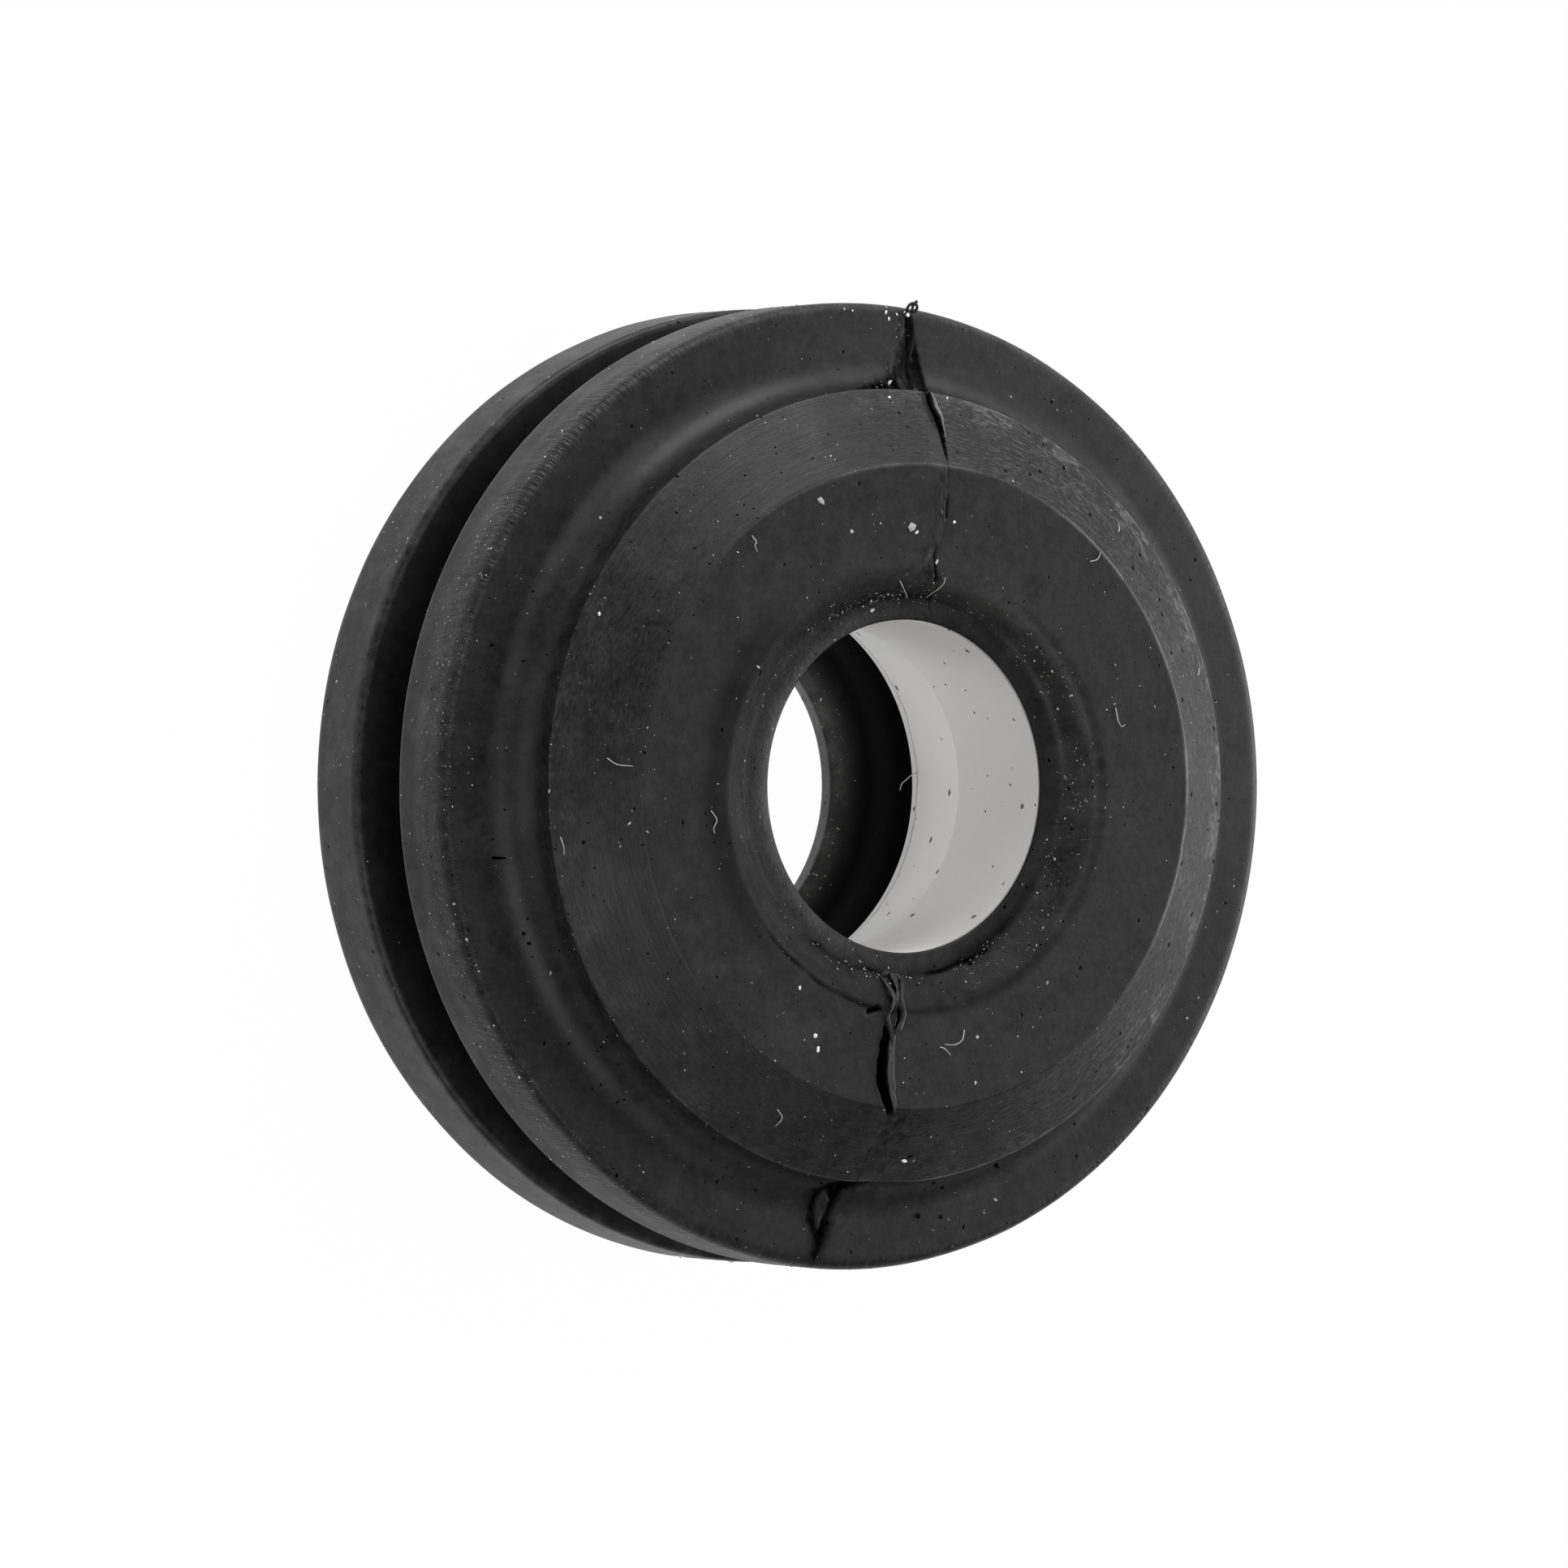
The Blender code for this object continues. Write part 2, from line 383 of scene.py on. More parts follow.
# %% [markdown]
# ## From a plain turned form to moulded rubber
#
# The plain form is pushed along its normals by the sum of small reliefs: a gentle unevenness, the
# tears, the thin gap of the parting line and the smeared rubber beside it. The skin over the
# sleeve's front end isn't trimmed quite round either, so its edge is stretched to the left.

# %% Normals of the profile
def profile_normals(rows):
    """Outward normals along a row of points in the (radius, height) plane."""
    tangent = np.gradient(rows, axis=0)
    normal = np.stack([-tangent[:, 1], tangent[:, 0]], axis=1)
    return normal / np.linalg.norm(normal, axis=1, keepdims=True)


def turned_grid(rows, angles):
    """Points and normals of the plain turned form, as rows by columns."""
    normals = profile_normals(rows)
    around = np.stack([np.cos(angles), np.sin(angles)], axis=-1)

    def sweep(pairs):
        flat = pairs[:, None, 0, None] * around[None]
        height = np.broadcast_to(pairs[:, None, 1, None], (len(pairs), len(angles), 1))
        return np.concatenate([flat, height], axis=-1)

    return sweep(rows), sweep(normals)


points, normals = turned_grid(profile, columns)

# %% Where each point lies, in millimetres and degrees
def facing(angle):
    """1 on the side of the part at this angle in degrees, and -1 on the opposite side."""
    return np.cos(np.radians(turn - angle))


radius = np.linalg.norm(points[..., :2], axis=-1) / MM
height = points[..., 2] / MM
turn = np.degrees(np.arctan2(points[..., 1], points[..., 0]))
along, across = along_and_across(points)
front = rise(height, 0.5, 2.0)
shown = rise(radius, 9.9, 10.6)
seam_place = np.interp(along, *np.array(SEAM_WANDER).T)
beside = np.abs(across - seam_place)
bottom = rise(-along, 5.0, 8.0)
foot_zone = front * fall(height, CHAMFER_FOOT / MM - 0.25, CHAMFER_FOOT / MM)
print("grid:", points.shape[0], "rows by", points.shape[1], "columns")

# %% [markdown]
# ## Inside a tear
#
# Where the rubber tore, its surface sinks a little and is roughened by crumbs and by strings that
# run along the parting line. A tear is darkened, partly as blacker torn rubber and partly as painted
# shade in its hollow. That painted shade reaches a little past the border of the tear, so that no
# bright lit rim is left round it.

# %% Ragged edges, crumbs and strings
ragged = 0.2 * soft_noise(points, 0.5 * MM, 3) + 0.1 * soft_noise(points, 0.2 * MM, 4)
crumbs = soft_noise(points, 0.35 * MM, 5) + 0.6 * soft_noise(points, 0.16 * MM, 6)
stretched = np.stack([along * 0.22, across, height * 0.22], axis=-1) * MM
strings = soft_noise(stretched, 0.26 * MM, 14)
crumb = patch(along, across, LOOSE_CRUMB, (0.2, 0.2), ragged * 0.4) * front

# %% Open the tears
# Each tear: edges, softness, raggedness, where it can open, depth, spread of its painted shade,
# blackness and how far the strings of rubber in it show as paler lines
tears = (
    (TOP_FOOT_TEAR, (0.8, 0.14), 0.7, foot_zone, 0.26, 0.5, 0.8, 0.6),
    (PAINTED_SHADE_CORNER, (0.4, 0.6), 0.4, foot_zone, 0.0, 0.1, 0.9, 0.6),
    (TOP_CHAMFER_SPLIT, (0.05, 0.03), 0.1, front, 1.2, 0.12, 1.0, 0.0),
    (BOTTOM_FACE_SPLIT, (0.09, 0.04), 0.35, front, 1.3, 0.1, 1.0, 0.0),
    (BOTTOM_FOOT_TEAR, (0.5, 0.4), 0.8, foot_zone * (1 - 0.8 * crumb), 0.2, 0.4, 0.97, 0.0),
)
opened = np.zeros(points.shape[:2])
torn_and_painted_shade = np.zeros(points.shape[:2])
for edges, softness, raggedness, zone, depth, spread, blackness, stringiness in tears:
    inside = patch(along, across, edges, softness, ragged * raggedness) * zone
    opened += inside * (depth + 0.12 * crumbs - 0.12 * strings) * (depth > 0)
    # The blacker colour of the tear together with its painted shade, spread past its border
    shade = patch(along, across, edges, softness, ragged * raggedness, (spread, spread * 0.3)) * zone
    torn_and_painted_shade += blackness * shade * (1 - stringiness * rise(strings, 0.0, 0.6))
torn_and_painted_shade = np.clip(torn_and_painted_shade, 0, 1)
print("torn points:", int((torn_and_painted_shade > 0.5).sum()))

# %% Cracks and the soft shades beside them
shades = []
for width, depth, places in CRACKS:
    shades.append(min(1, 3 * depth) * crack(along, across, places, width * 1.3))
for places in SOFT_SHADES:
    shades.append(0.35 * crack(along, across, places, 0.6))
cracks_and_painted_shade = np.clip(sum(shades), 0, 1) * front
crack_depth = sum(depth * crack(along, across, places, width) for width, depth, places in CRACKS) * front
print("cracked points:", int((cracks_and_painted_shade > 0.5).sum()))

# %% The parting line, with smeared and bruised rubber beside it
smear = bottom * front * hump(across, 1.4, 1.8) * rise(radius, 18.9, 19.3) * fall(radius, 22.0, 23.0)
bruise = (1 - bottom) * front * hump(across - seam_place, -0.4, 0.9) * fall(radius, 18.6, 19.2)
patchy = rise(soft_noise(points, 1.1 * MM, 7), -0.5, 0.5)
on_face = front * rise(along, 14.4, 15.0) * fall(along, 18.4, 19.0)
seam_gap = hump(beside, 0.0, 0.09) * shown * (0.3 + 0.7 * patchy) * (1 - 0.6 * on_face)
seam_depth = 0.05 * seam_gap * (1 - 0.95 * bottom * rise(radius, 18.9, 19.3))
soft_edge = bottom * front * hump(radius, 23.3, 1.3) * rise(across, -0.8, 1.8) * fall(across, 2.0, 5.0)
curl_down = front * rise(radius, 19.0, 20.5) * fall(radius, 23.0, 23.4) * rise(along, 5, 8)
curl_down = curl_down * hump(across, -0.3, 0.7) * fall(across, 0.0, 0.1)

# %% The crease round the sleeve and the line round the mouth
low_crack = rise(-turn, 54, 60) * fall(-turn, 124, 130) * (1 - 0.8 * hump(-turn, 91.5, 5.0))
high_crack = rise(turn, 50, 66) * fall(turn, 112, 124)
crease_line = front * hump(radius, 11.05 + 0.12 * soft_noise(points, 1.2 * MM, 8), 0.22)
crease_line = crease_line * (low_crack * (0.35 + 0.65 * patchy) + 0.45 * high_crack)
mouth_line = front * hump(radius, 12.95 + 0.1 * soft_noise(points, 1.5 * MM, 9), 0.26)
mouth_line = mouth_line * rise(-turn, 66, 104) * fall(-turn, 128, 150) * (0.4 + 0.6 * patchy)

# %% Add up the reliefs, in millimetres along the normal
relief = 0.03 * soft_noise(points, 7.0 * MM, 1) + 0.01 * soft_noise(points, 2.2 * MM, 2)
relief = relief * shown
relief -= opened + 0.08 * curl_down
relief -= (seam_depth + crack_depth) * (1 - torn_and_painted_shade) + 0.15 * soft_edge
relief -= 0.12 * crease_line * (0.6 + 0.4 * crumbs) + 0.05 * mouth_line
relief += smear * 0.012 * crumbs + bruise * 0.012 * crumbs
print("relief from", round(float(relief.min()), 2), "to", round(float(relief.max()), 2), "mm")

# %% Press the reliefs in, stretch the skin's edge and set the mouth a little off centre
SKIN_STRETCH = 0.28 * MM
MOUTH_SHIFT = (-0.22 * MM, -0.25 * MM)
FLOOR_GAP = 0.01 * MM
moulded = points + normals * relief[..., None] * MM
mouth_reach = rise(radius, 11.2, 12.3) * fall(radius, 13.2, 15.0) * rise(height, 12.2, 12.5)
moulded[..., 0] += mouth_reach * MOUTH_SHIFT[0]
moulded[..., 1] += mouth_reach * MOUTH_SHIFT[1]
skin_reach = front * fall(radius, 10.0, 11.2) * rise(height, UNDER_SKIN / MM - 0.1, UNDER_SKIN / MM)
left_side = 0.5 - 0.5 * facing(0)
moulded[..., 0] += skin_reach * left_side * SKIN_STRETCH * 2
moulded[..., 2] += MIDDLE
moulded[..., 2] = np.maximum(moulded[..., 2], FLOOR_GAP)
print("lowest point:", round(float(moulded[..., 2].min()) / MM, 3), "mm")

# %% [markdown]
# ## Meshes from a grid of points
#
# The rubber is one moulded body. It is cut into meshes at edges of its own, so that each stays light
# enough to handle, and neighbouring meshes share their border row so that no gap shows. Facts
# about the surface, such as where it is torn, travel with the points as attributes, and the
# finish reads them.

# %% A mesh with its facts
def grid_mesh(name, grid, facts, closed=True):
    """Mesh whose faces join a grid of rows and columns, closed round the axis or left open."""
    rows, around = grid.shape[:2]
    index = np.arange(rows * around).reshape(rows, around)
    following = np.roll(index, -1, axis=1)
    kept = slice(None) if closed else slice(0, -1)
    corners = np.stack([index[:-1], index[1:], following[1:], following[:-1]], axis=-1)[:, kept]
    return face_mesh(name, grid.reshape(-1, 3), corners.reshape(-1, 4), facts)


def face_mesh(name, places, faces, facts):
    """Smooth mesh of faces that all have the same number of corners."""
    mesh = bpy.data.meshes.new(name)
    mesh.vertices.add(len(places))
    mesh.vertices.foreach_set("co", np.ascontiguousarray(places, np.float32).reshape(-1))
    mesh.loops.add(faces.size)
    mesh.loops.foreach_set("vertex_index", faces.reshape(-1).astype(np.int32))
    mesh.polygons.add(len(faces))
    mesh.polygons.foreach_set("loop_start", np.arange(0, faces.size, faces.shape[1], dtype=np.int32))
    for fact, values in facts.items():
        layer = mesh.attributes.new(fact, "FLOAT", "POINT")
        layer.data.foreach_set("value", np.ascontiguousarray(values, np.float32).reshape(-1))
    mesh.update(calc_edges=True)
    mesh.validate()
    mesh.shade_smooth()
    piece = bpy.data.objects.new(name, mesh)
    bpy.context.scene.collection.objects.link(piece)
    return piece


# %% [markdown]
# ## Facts for the finish
#
# The finish has to know more than the form tells it: which lines and bands are darker, from cracks,
# creases and painted shade, and which are lighter, from wear and from painted highlights where an
# edge would catch the lamps. Each such line is a hump across a radius or a height, and is stronger
# on the side where the painted light or shade falls.

# %% Lines and bands on the rubber
# The crease at the funnel's foot, where dust gathers
crease = front * rise(radius, 9.9, 10.3) * fall(radius, 12.6, 13.4)

# Thin lines on the edges, for wear and painted highlights: round the face, at the chamfer's foot
# and where the rim meets the groove
face_level = HALF_WIDTH / MM
face_line = hump(radius, BOSS_FACE_RADIUS / MM, 0.16) * rise(height, face_level - 0.4, face_level - 0.15)
foot_line = hump(height, CHAMFER_FOOT / MM, 0.16) * hump(radius, BOSS_BASE_RADIUS / MM, 0.4)
rim_line = hump(height, GROOVE_WIDTH / MM / 2 + 0.06, 0.12) * rise(radius, 28.2, 28.4)

# Bands: the rim, a painted highlight on the mouth's edge, and painted shade on the dip left of the
# mouth, on the ledge over the sleeve on the right and on the funnel away from the right
rim_band = rise(radius, 27.6, 28.2) * rise(height, 4.2, 5.6)
right_side = rise(facing(0), 0.0, 0.6)
mouth_painted_highlight = front * hump(radius, 12.62, 0.13) * right_side * rise(height, 13.3, 13.6)
upper_left = np.clip(facing(165), 0, 1)
left_painted_shade = front * hump(radius, 13.9, 1.8) * rise(-facing(0), 0.5, 0.9)
ledge_painted_shadow = front * fall(radius, 10.8, 11.2) * right_side
funnel_painted_shade = front * rise(radius, 10.0, 10.9) * fall(radius, 12.9, 13.6)
funnel_painted_shade = funnel_painted_shade * fall(facing(20), 0.3, 0.8)

# The wall of the bore, and the hollow behind the sleeve, which gets painted shade
in_bore = fall(radius, 12.15, 12.5) * fall(height, 11.0, 11.6)
hollow = in_bore * rise(height, -10.0, -6.0)

# %% Darker lines with painted shade, and lighter lines of wear with painted highlights
# Cracks, the seam's gap, the crease and the line round the mouth are darker; the bands left of the mouth,
# over the ledge, on the funnel and in the hollow are painted shade
dark_lines_and_painted_shade = cracks_and_painted_shade + 0.45 * seam_gap + 0.8 * crease_line + 0.5 * mouth_line
dark_lines_and_painted_shade += 0.5 * left_painted_shade + 0.3 * ledge_painted_shadow + 0.42 * funnel_painted_shade + 0.8 * hollow
# Painted highlights over the edge lines, strongest on the lit side and at the top, and at the chamfer's foot
# on the right
top_side = hump(turn, 95.0, 30.0)
lit_side = rise(facing(15), 0.5, 0.9)
wear_and_painted_highlights = face_line * np.maximum(2.4 * lit_side, 1.6 * top_side) * (0.5 + 0.5 * patchy)
wear_and_painted_highlights += rim_line + 0.15 * mouth_painted_highlight
wear_and_painted_highlights += foot_line * (0.3 + 1.1 * patchy) * (0.12 + 0.88 * rise(facing(0), -0.2, 0.4))
# Painted light on the back lip inside the bore and on the upper part of the mouth's round
back_lip = in_bore * hump(radius, 10.3, 1.2) * fall(height, -11.5, -10.9)
wear_and_painted_highlights += 1.9 * back_lip * (0.4 + 0.6 * patchy)
wear_and_painted_highlights += 0.8 * front * hump(radius, 12.4, 1.3) * hump(turn, 80.0, 55.0)

# %% The rubber's facts
# Painted shade deep in the groove and up the bore, which also keeps dust out and roughens the rubber
groove_painted_shade = rise(FLANGE_RADIUS / MM - radius, 0.1, 2.6) * fall(np.abs(height), 2.5, 2.75)
bore_painted_shade = in_bore * rise(height, -12.6, -10.6)
# The darkening fact carries the tears with the painted shade, and the edge fact carries wear with painted
# highlights
facts = {
    "torn_and_painted_shade": np.clip(torn_and_painted_shade + dark_lines_and_painted_shade, 0, 1),
    "smear": np.clip(smear + 0.6 * bruise + soft_edge, 0, 1),
    "crease": crease,
    "edge": np.clip(wear_and_painted_highlights, 0, 4) * (1 - torn_and_painted_shade),
    "ripple": rim_band * (0.3 + 0.7 * upper_left),
    "shelter_and_painted_shade": np.maximum(groove_painted_shade, bore_painted_shade),
}
print("facts:", {fact: round(float(values.mean()), 3) for fact, values in facts.items()})

# %% Cut the rubber into its meshes
rubber = []
sheltered_rubber = []
row = 0
for name, rows in sections.items():
    last = min(row + len(rows) + 1, len(profile))
    own_facts = {fact: values[row:last] for fact, values in facts.items()}
    piece = grid_mesh(name, moulded[row:last], own_facts)
    (sheltered_rubber if name in ("groove", "bore_wall") else rubber).append(piece)
    row += len(rows)
    print(name, "has", len(piece.data.polygons) * 2, "triangles")

# %% [markdown]
# ## Squeezed-out rubber
#
# Where the mould halves met, liquid rubber was pressed out as thin flash. Most of it was torn away,
# which left the gaps above, but two thin lips still stand beside them, and at the mouth of the bore
# the flash twisted into a few strands. A lip is a fin that follows the surface; a strand is a
# flattened cord between a few places.

# %% The height of the front surface
outer_rows = front_rows + sections["front_flange"]
front_profile = np.array([row for row in outer_rows if row[1] > FLANGE_FACE - MM / 100])


def on_surface(along, across, lift=0.0):
    """Place above the front surface, in metres, from distances in millimetres."""
    x = (along * math.cos(SEAM_ANGLE) + across * math.sin(SEAM_ANGLE)) * MM
    y = (along * math.sin(SEAM_ANGLE) - across * math.cos(SEAM_ANGLE)) * MM
    level = np.interp(math.hypot(x, y), front_profile[:, 0], front_profile[:, 1])
    return np.array([x, y, level + MIDDLE + lift * MM])


# %% Lips of flash
LIP_STATIONS = 90
LIP_KNOTS = 14
# The section of a lip, as (side, level) in shares of its width and height
FIN_SHAPE = (
    (-0.5, -0.3), (-0.48, 0.5), (-0.42, 0.9), (-0.3, 1.0), (0.0, 1.02), (0.3, 1.0), (0.42, 0.9),
    (0.5, 0.4), (0.58, -0.3),
)


def lip(name, stops, lip_painted_highlight, seed):
    """A thin fin; each stop is (along, across, height, lean, width) in millimetres."""
    stops = np.array(stops)
    stations = np.linspace(stops[0, 0], stops[-1, 0], LIP_STATIONS)
    wave = np.random.default_rng(seed).uniform(-1, 1, (3, LIP_KNOTS))
    grid = np.zeros((len(FIN_SHAPE), len(stations), 3))
    for column, along_place in enumerate(stations):
        across_place, tall, lean, width = (
            np.interp(along_place, stops[:, 0], stops[:, part]) for part in range(1, 5)
        )
        knot = column / LIP_STATIONS * (LIP_KNOTS - 1)
        jitter = [np.interp(knot, np.arange(LIP_KNOTS), row) for row in wave]
        tall *= 1 + 0.12 * jitter[0]
        width *= 1 + 0.14 * jitter[2]
        for row, (side, level) in enumerate(FIN_SHAPE):
            place = across_place + 0.03 * jitter[1] + side * width + lean * max(level, 0) ** 1.5
            grid[row, column] = on_surface(along_place, place, level * tall)
    # The tops of the lips get a painted highlight, lighter on one side
    tops = rise(np.array([level for side, level in FIN_SHAPE]), 0.5, 1.0)
    sides = np.array([side for side, level in FIN_SHAPE])
    pale = (tops * (lip_painted_highlight[0] + sides * lip_painted_highlight[1]))[:, None]
    return grid_mesh(name, grid, {"edge": np.broadcast_to(pale, grid.shape[:2])}, closed=False)


BOTTOM_LIP = (
    (-19.0, 0.5, 0.04, 0.0, 0.15), (-18.6, 0.36, 0.1, 0.0, 0.3), (-18.1, 0.2, 0.16, 0.0, 0.4),
    (-17.4, -0.02, 0.2, 0.0, 0.5), (-16.5, -0.16, 0.2, 0.0, 0.5), (-15.5, -0.2, 0.18, 0.0, 0.46),
    (-14.8, -0.24, 0.15, 0.0, 0.36), (-14.3, -0.32, 0.1, 0.0, 0.25),
)
TOP_LIP = (
    (20.6, 0.14, 0.05, 0.0, 0.06), (21.2, 0.2, 0.15, 0.0, 0.1), (21.8, 0.17, 0.24, 0.0, 0.19),
    (22.3, 0.06, 0.3, 0.0, 0.29), (22.7, -0.02, 0.32, 0.0, 0.26), (23.1, -0.04, 0.28, 0.0, 0.16),
    (23.6, -0.02, 0.12, 0.0, 0.1),
)
# Painted highlight on the lips: the left side of the bottom lip and the whole top of the top lip
lips = [lip("bottom_lip", BOTTOM_LIP, (0.5, -1.4), 21), lip("top_lip", TOP_LIP, (2.8, 0.6), 22)]


# %% Smooth cords, for strands of flash and later for fibres
def smooth_path(places, count):
    """A smooth curve through the places, as count points."""
    places = np.array(places, float)
    padded = np.concatenate([[2 * places[0] - places[1]], places, [2 * places[-1] - places[-2]]])
    points = []
    for spot in np.linspace(0, len(places) - 1 - 1e-6, count):
        first = int(spot)
        share = spot - first
        before, start, end, after = padded[first:first + 4]
        bend = (2 * before - 5 * start + 4 * end - after) * share**2
        bend = bend + (3 * start - before - 3 * end + after) * share**3
        points.append(0.5 * (2 * start + (end - before) * share + bend))
    return np.array(points)


def cord_rings(path, widths, flatness=1.0, sides=6):
    """Rings of points round a path, one ring a row; widths are diameters along it."""
    ahead = np.gradient(path, axis=0)
    ahead /= np.linalg.norm(ahead, axis=1, keepdims=True)
    beside_path = np.cross(ahead, (0.0, 0.0, 1.0))
    beside_path /= np.linalg.norm(beside_path, axis=1, keepdims=True) + 1e-9
    above_path = np.cross(beside_path, ahead)
    turns = np.linspace(0, 2 * math.pi, sides, endpoint=False)
    rings = np.cos(turns)[None, :, None] * beside_path[:, None]
    rings = rings + flatness * np.sin(turns)[None, :, None] * above_path[:, None]
    return path[:, None] + rings * np.array(widths)[:, None, None] / 2


# %% Strands of flash
STRAND_STATIONS = 40


def strand(name, places, width):
    """A flattened strand of flash; each place is (along, across, lift) in millimetres."""
    path = smooth_path([on_surface(*place) for place in places], STRAND_STATIONS)
    slow = np.linspace(0, 9, STRAND_STATIONS)
    quick = np.linspace(1, 31, STRAND_STATIONS)
    wobble = 0.8 + 0.25 * np.sin(slow) + 0.12 * np.sin(quick)
    swell = np.linspace(0.35, 8, STRAND_STATIONS)
    taper = np.minimum(1, np.minimum(swell, swell[::-1]))
    rings = cord_rings(path, width * MM * wobble * taper, 0.55, 8)
    return grid_mesh(name, rings[::-1], {"edge": np.full(rings.shape[:2], 0.12)})


LEFT_STRAND = (
    (-11.2, -0.5, 0.05), (-12.0, -0.25, 0.15), (-12.6, -0.3, 0.2), (-13.2, -0.6, 0.2), (-13.7, -0.7, 0.15),
    (-14.5, -0.35, 0.2), (-15.2, -0.25, 0.3),
)
RIGHT_STRAND = (
    (-11.0, 1.1, 0.05), (-11.7, 0.7, 0.15), (-12.5, 0.25, 0.25), (-13.2, 0.3, 0.3), (-13.9, 0.15, 0.3),
    (-14.6, -0.2, 0.35),
)
WEB = ((-10.9, 0.3, 0.1), (-11.3, 0.35, 0.15), (-11.8, 0.3, 0.15), (-12.4, 0.1, 0.1), (-12.9, -0.1, 0.0))
BRIDGE = ((-11.15, -0.4, 0.02), (-11.0, 0.1, 0.08), (-11.1, 0.7, 0.08), (-11.4, 0.95, 0.05))
strands = [
    strand("left_strand", LEFT_STRAND, 0.34), strand("right_strand", RIGHT_STRAND, 0.36),
    strand("bridge_strand", BRIDGE, 0.34), strand("web", WEB, 0.5),
]
print("lips and strands:", sum(len(piece.data.polygons) for piece in lips + strands) * 2, "triangles")

# %% [markdown]
# ## The steel sleeve
#
# The sleeve is a short tube, turned or drawn, whose bore opens into a long flare towards the back.
# Only its bore shows from the front, but the whole ring is made, since a view from the back looks up
# into it. The edge where the cylinder turns into the flare is crisp, so it gets a much smaller round
# than the rubber.

# %% Turn the sleeve
def sleeve_rows():
    """Down the outside from the front end, round the rear edge and back up the bore."""
    outer_top = (CAVITY_RADIUS, UNDER_SKIN)
    outer_rear = (CAVITY_RADIUS, SLEEVE_REAR)
    flare_end = (CAVITY_RADIUS - SEAT_GAP - FLARE_END_WALL, SLEEVE_REAR)
    flare_start = (SLEEVE_BORE_RADIUS, SLEEVE_REAR + FLARE_LENGTH)
    bore_top = (SLEEVE_BORE_RADIUS, UNDER_SKIN)
    turn_in = rounded(flare_end, flare_start, bore_top, 0.06 * MM)
    rows = cut(outer_top, outer_rear, 1.5 * MM) + cut(outer_rear, flare_end, 0.15 * MM)
    rows += cut(flare_end, turn_in[0], 0.3 * MM) + turn_in[:-1] + cut(turn_in[-1], bore_top, 0.4 * MM)
    return np.array(rows + [bore_top, outer_top])


sleeve_angles = np.linspace(0, 2 * math.pi, 360, endpoint=False)
sleeve_grid, sleeve_normals = turned_grid(sleeve_rows(), sleeve_angles)
uneven = soft_noise(sleeve_grid, 5 * MM, 12) * 0.012 + soft_noise(sleeve_grid, 1.5 * MM, 13) * 0.004
sleeve_grid = sleeve_grid + sleeve_normals * uneven[..., None] * MM
sleeve_grid[..., 2] += MIDDLE
sleeve = grid_mesh("sleeve", sleeve_grid, {})
sleeve.data.set_sharp_from_angle(angle=math.radians(40))
print("sleeve has", len(sleeve.data.polygons) * 2, "triangles")

# %% [markdown]
# ## Dust and lint
#
# Black rubber shows every speck. Dust gathers in the crease round the sleeve, on the rim and along
# the sharp edges, and lies thinly everywhere else. Each speck is a tiny faceted crumb that stands on
# the surface, and each fibre is a thin crooked cord, so both catch the light from any side.

# %% Where dust gathers
def dust_density():
    """How much dust lies at each grid point, from thin everywhere to thick in the crease."""
    clouds = np.exp(1.1 * soft_noise(points, 3.2 * MM, 31) + 0.6 * soft_noise(points, 0.9 * MM, 32))
    front_face = rise(height, 2.0, 2.6)
    outside = 1 - facts["shelter_and_painted_shade"]
    left = np.clip(-facing(0), 0, 1)

    # Thickest in the crease, then on the skin's edge, the left of the rim and the worn edges
    thick = 14.0 * front * hump(radius, 11.1, 0.6) * (0.25 + 0.55 * low_crack + 1.1 * high_crack)
    thick += 3.4 * front * hump(radius, 12.0, 0.9) * rise(facing(0), -0.2, 0.6)
    thick += 4.0 * front * fall(radius, 10.0, 10.3) * left
    thick += 4.0 * rim_band * left + 5.0 * foot_line * left + 2.0 * face_line
    thick += 1.2 * rise(radius, 28.3, 28.5)
    thick += 10.0 * back_lip + 5.0 * torn_and_painted_shade * foot_zone * (1 - bottom)

    # None on the back boss, which stands on the floor
    off_floor = np.maximum(rise(height, -13.2, -12.6), in_bore)
    return (0.3 * front_face + 0.06 + thick) * clouds * outside * off_floor * (1 - 0.4 * torn_and_painted_shade)


# %% Small crumbs
CRUMB_CORNERS = 5


def crumb_mesh(name, places, directions, size, draw, dimness):
    """Crumbs with a ragged foot and a raised top; more dimness leaves fewer of them bright."""
    count = len(places)
    side = np.cross(directions, draw.normal(size=(count, 3)))
    side /= np.linalg.norm(side, axis=1, keepdims=True)
    other = np.cross(directions, side)
    turns = np.linspace(0, 2 * math.pi, CRUMB_CORNERS, endpoint=False)
    reach = size[:, None] * draw.uniform(0.6, 1.3, (count, CRUMB_CORNERS))
    stretch = draw.uniform(0.7, 2.0, (count, 1))
    foot = places[:, None] + (reach * stretch * np.cos(turns))[..., None] * side[:, None]
    foot = foot + (reach * np.sin(turns))[..., None] * other[:, None]
    top = places + directions * (size * draw.uniform(0.35, 0.9, count))[:, None]
    corners = np.concatenate([foot, top[:, None]], axis=1)
    first = np.arange(count)[:, None] * (CRUMB_CORNERS + 1)
    ring = np.arange(CRUMB_CORNERS)
    peak = np.broadcast_to(first + CRUMB_CORNERS, (count, CRUMB_CORNERS))
    faces = np.stack([first + ring, first + (ring + 1) % CRUMB_CORNERS, peak], axis=-1)
    shade = np.repeat(0.12 + 0.88 * draw.uniform(0, 1, count) ** dimness, CRUMB_CORNERS + 1)
    return face_mesh(name, corners.reshape(-1, 3), faces.reshape(-1, 3), {"shade": shade})


# %% Scatter the dust
DUST_CRUMBS = 7000


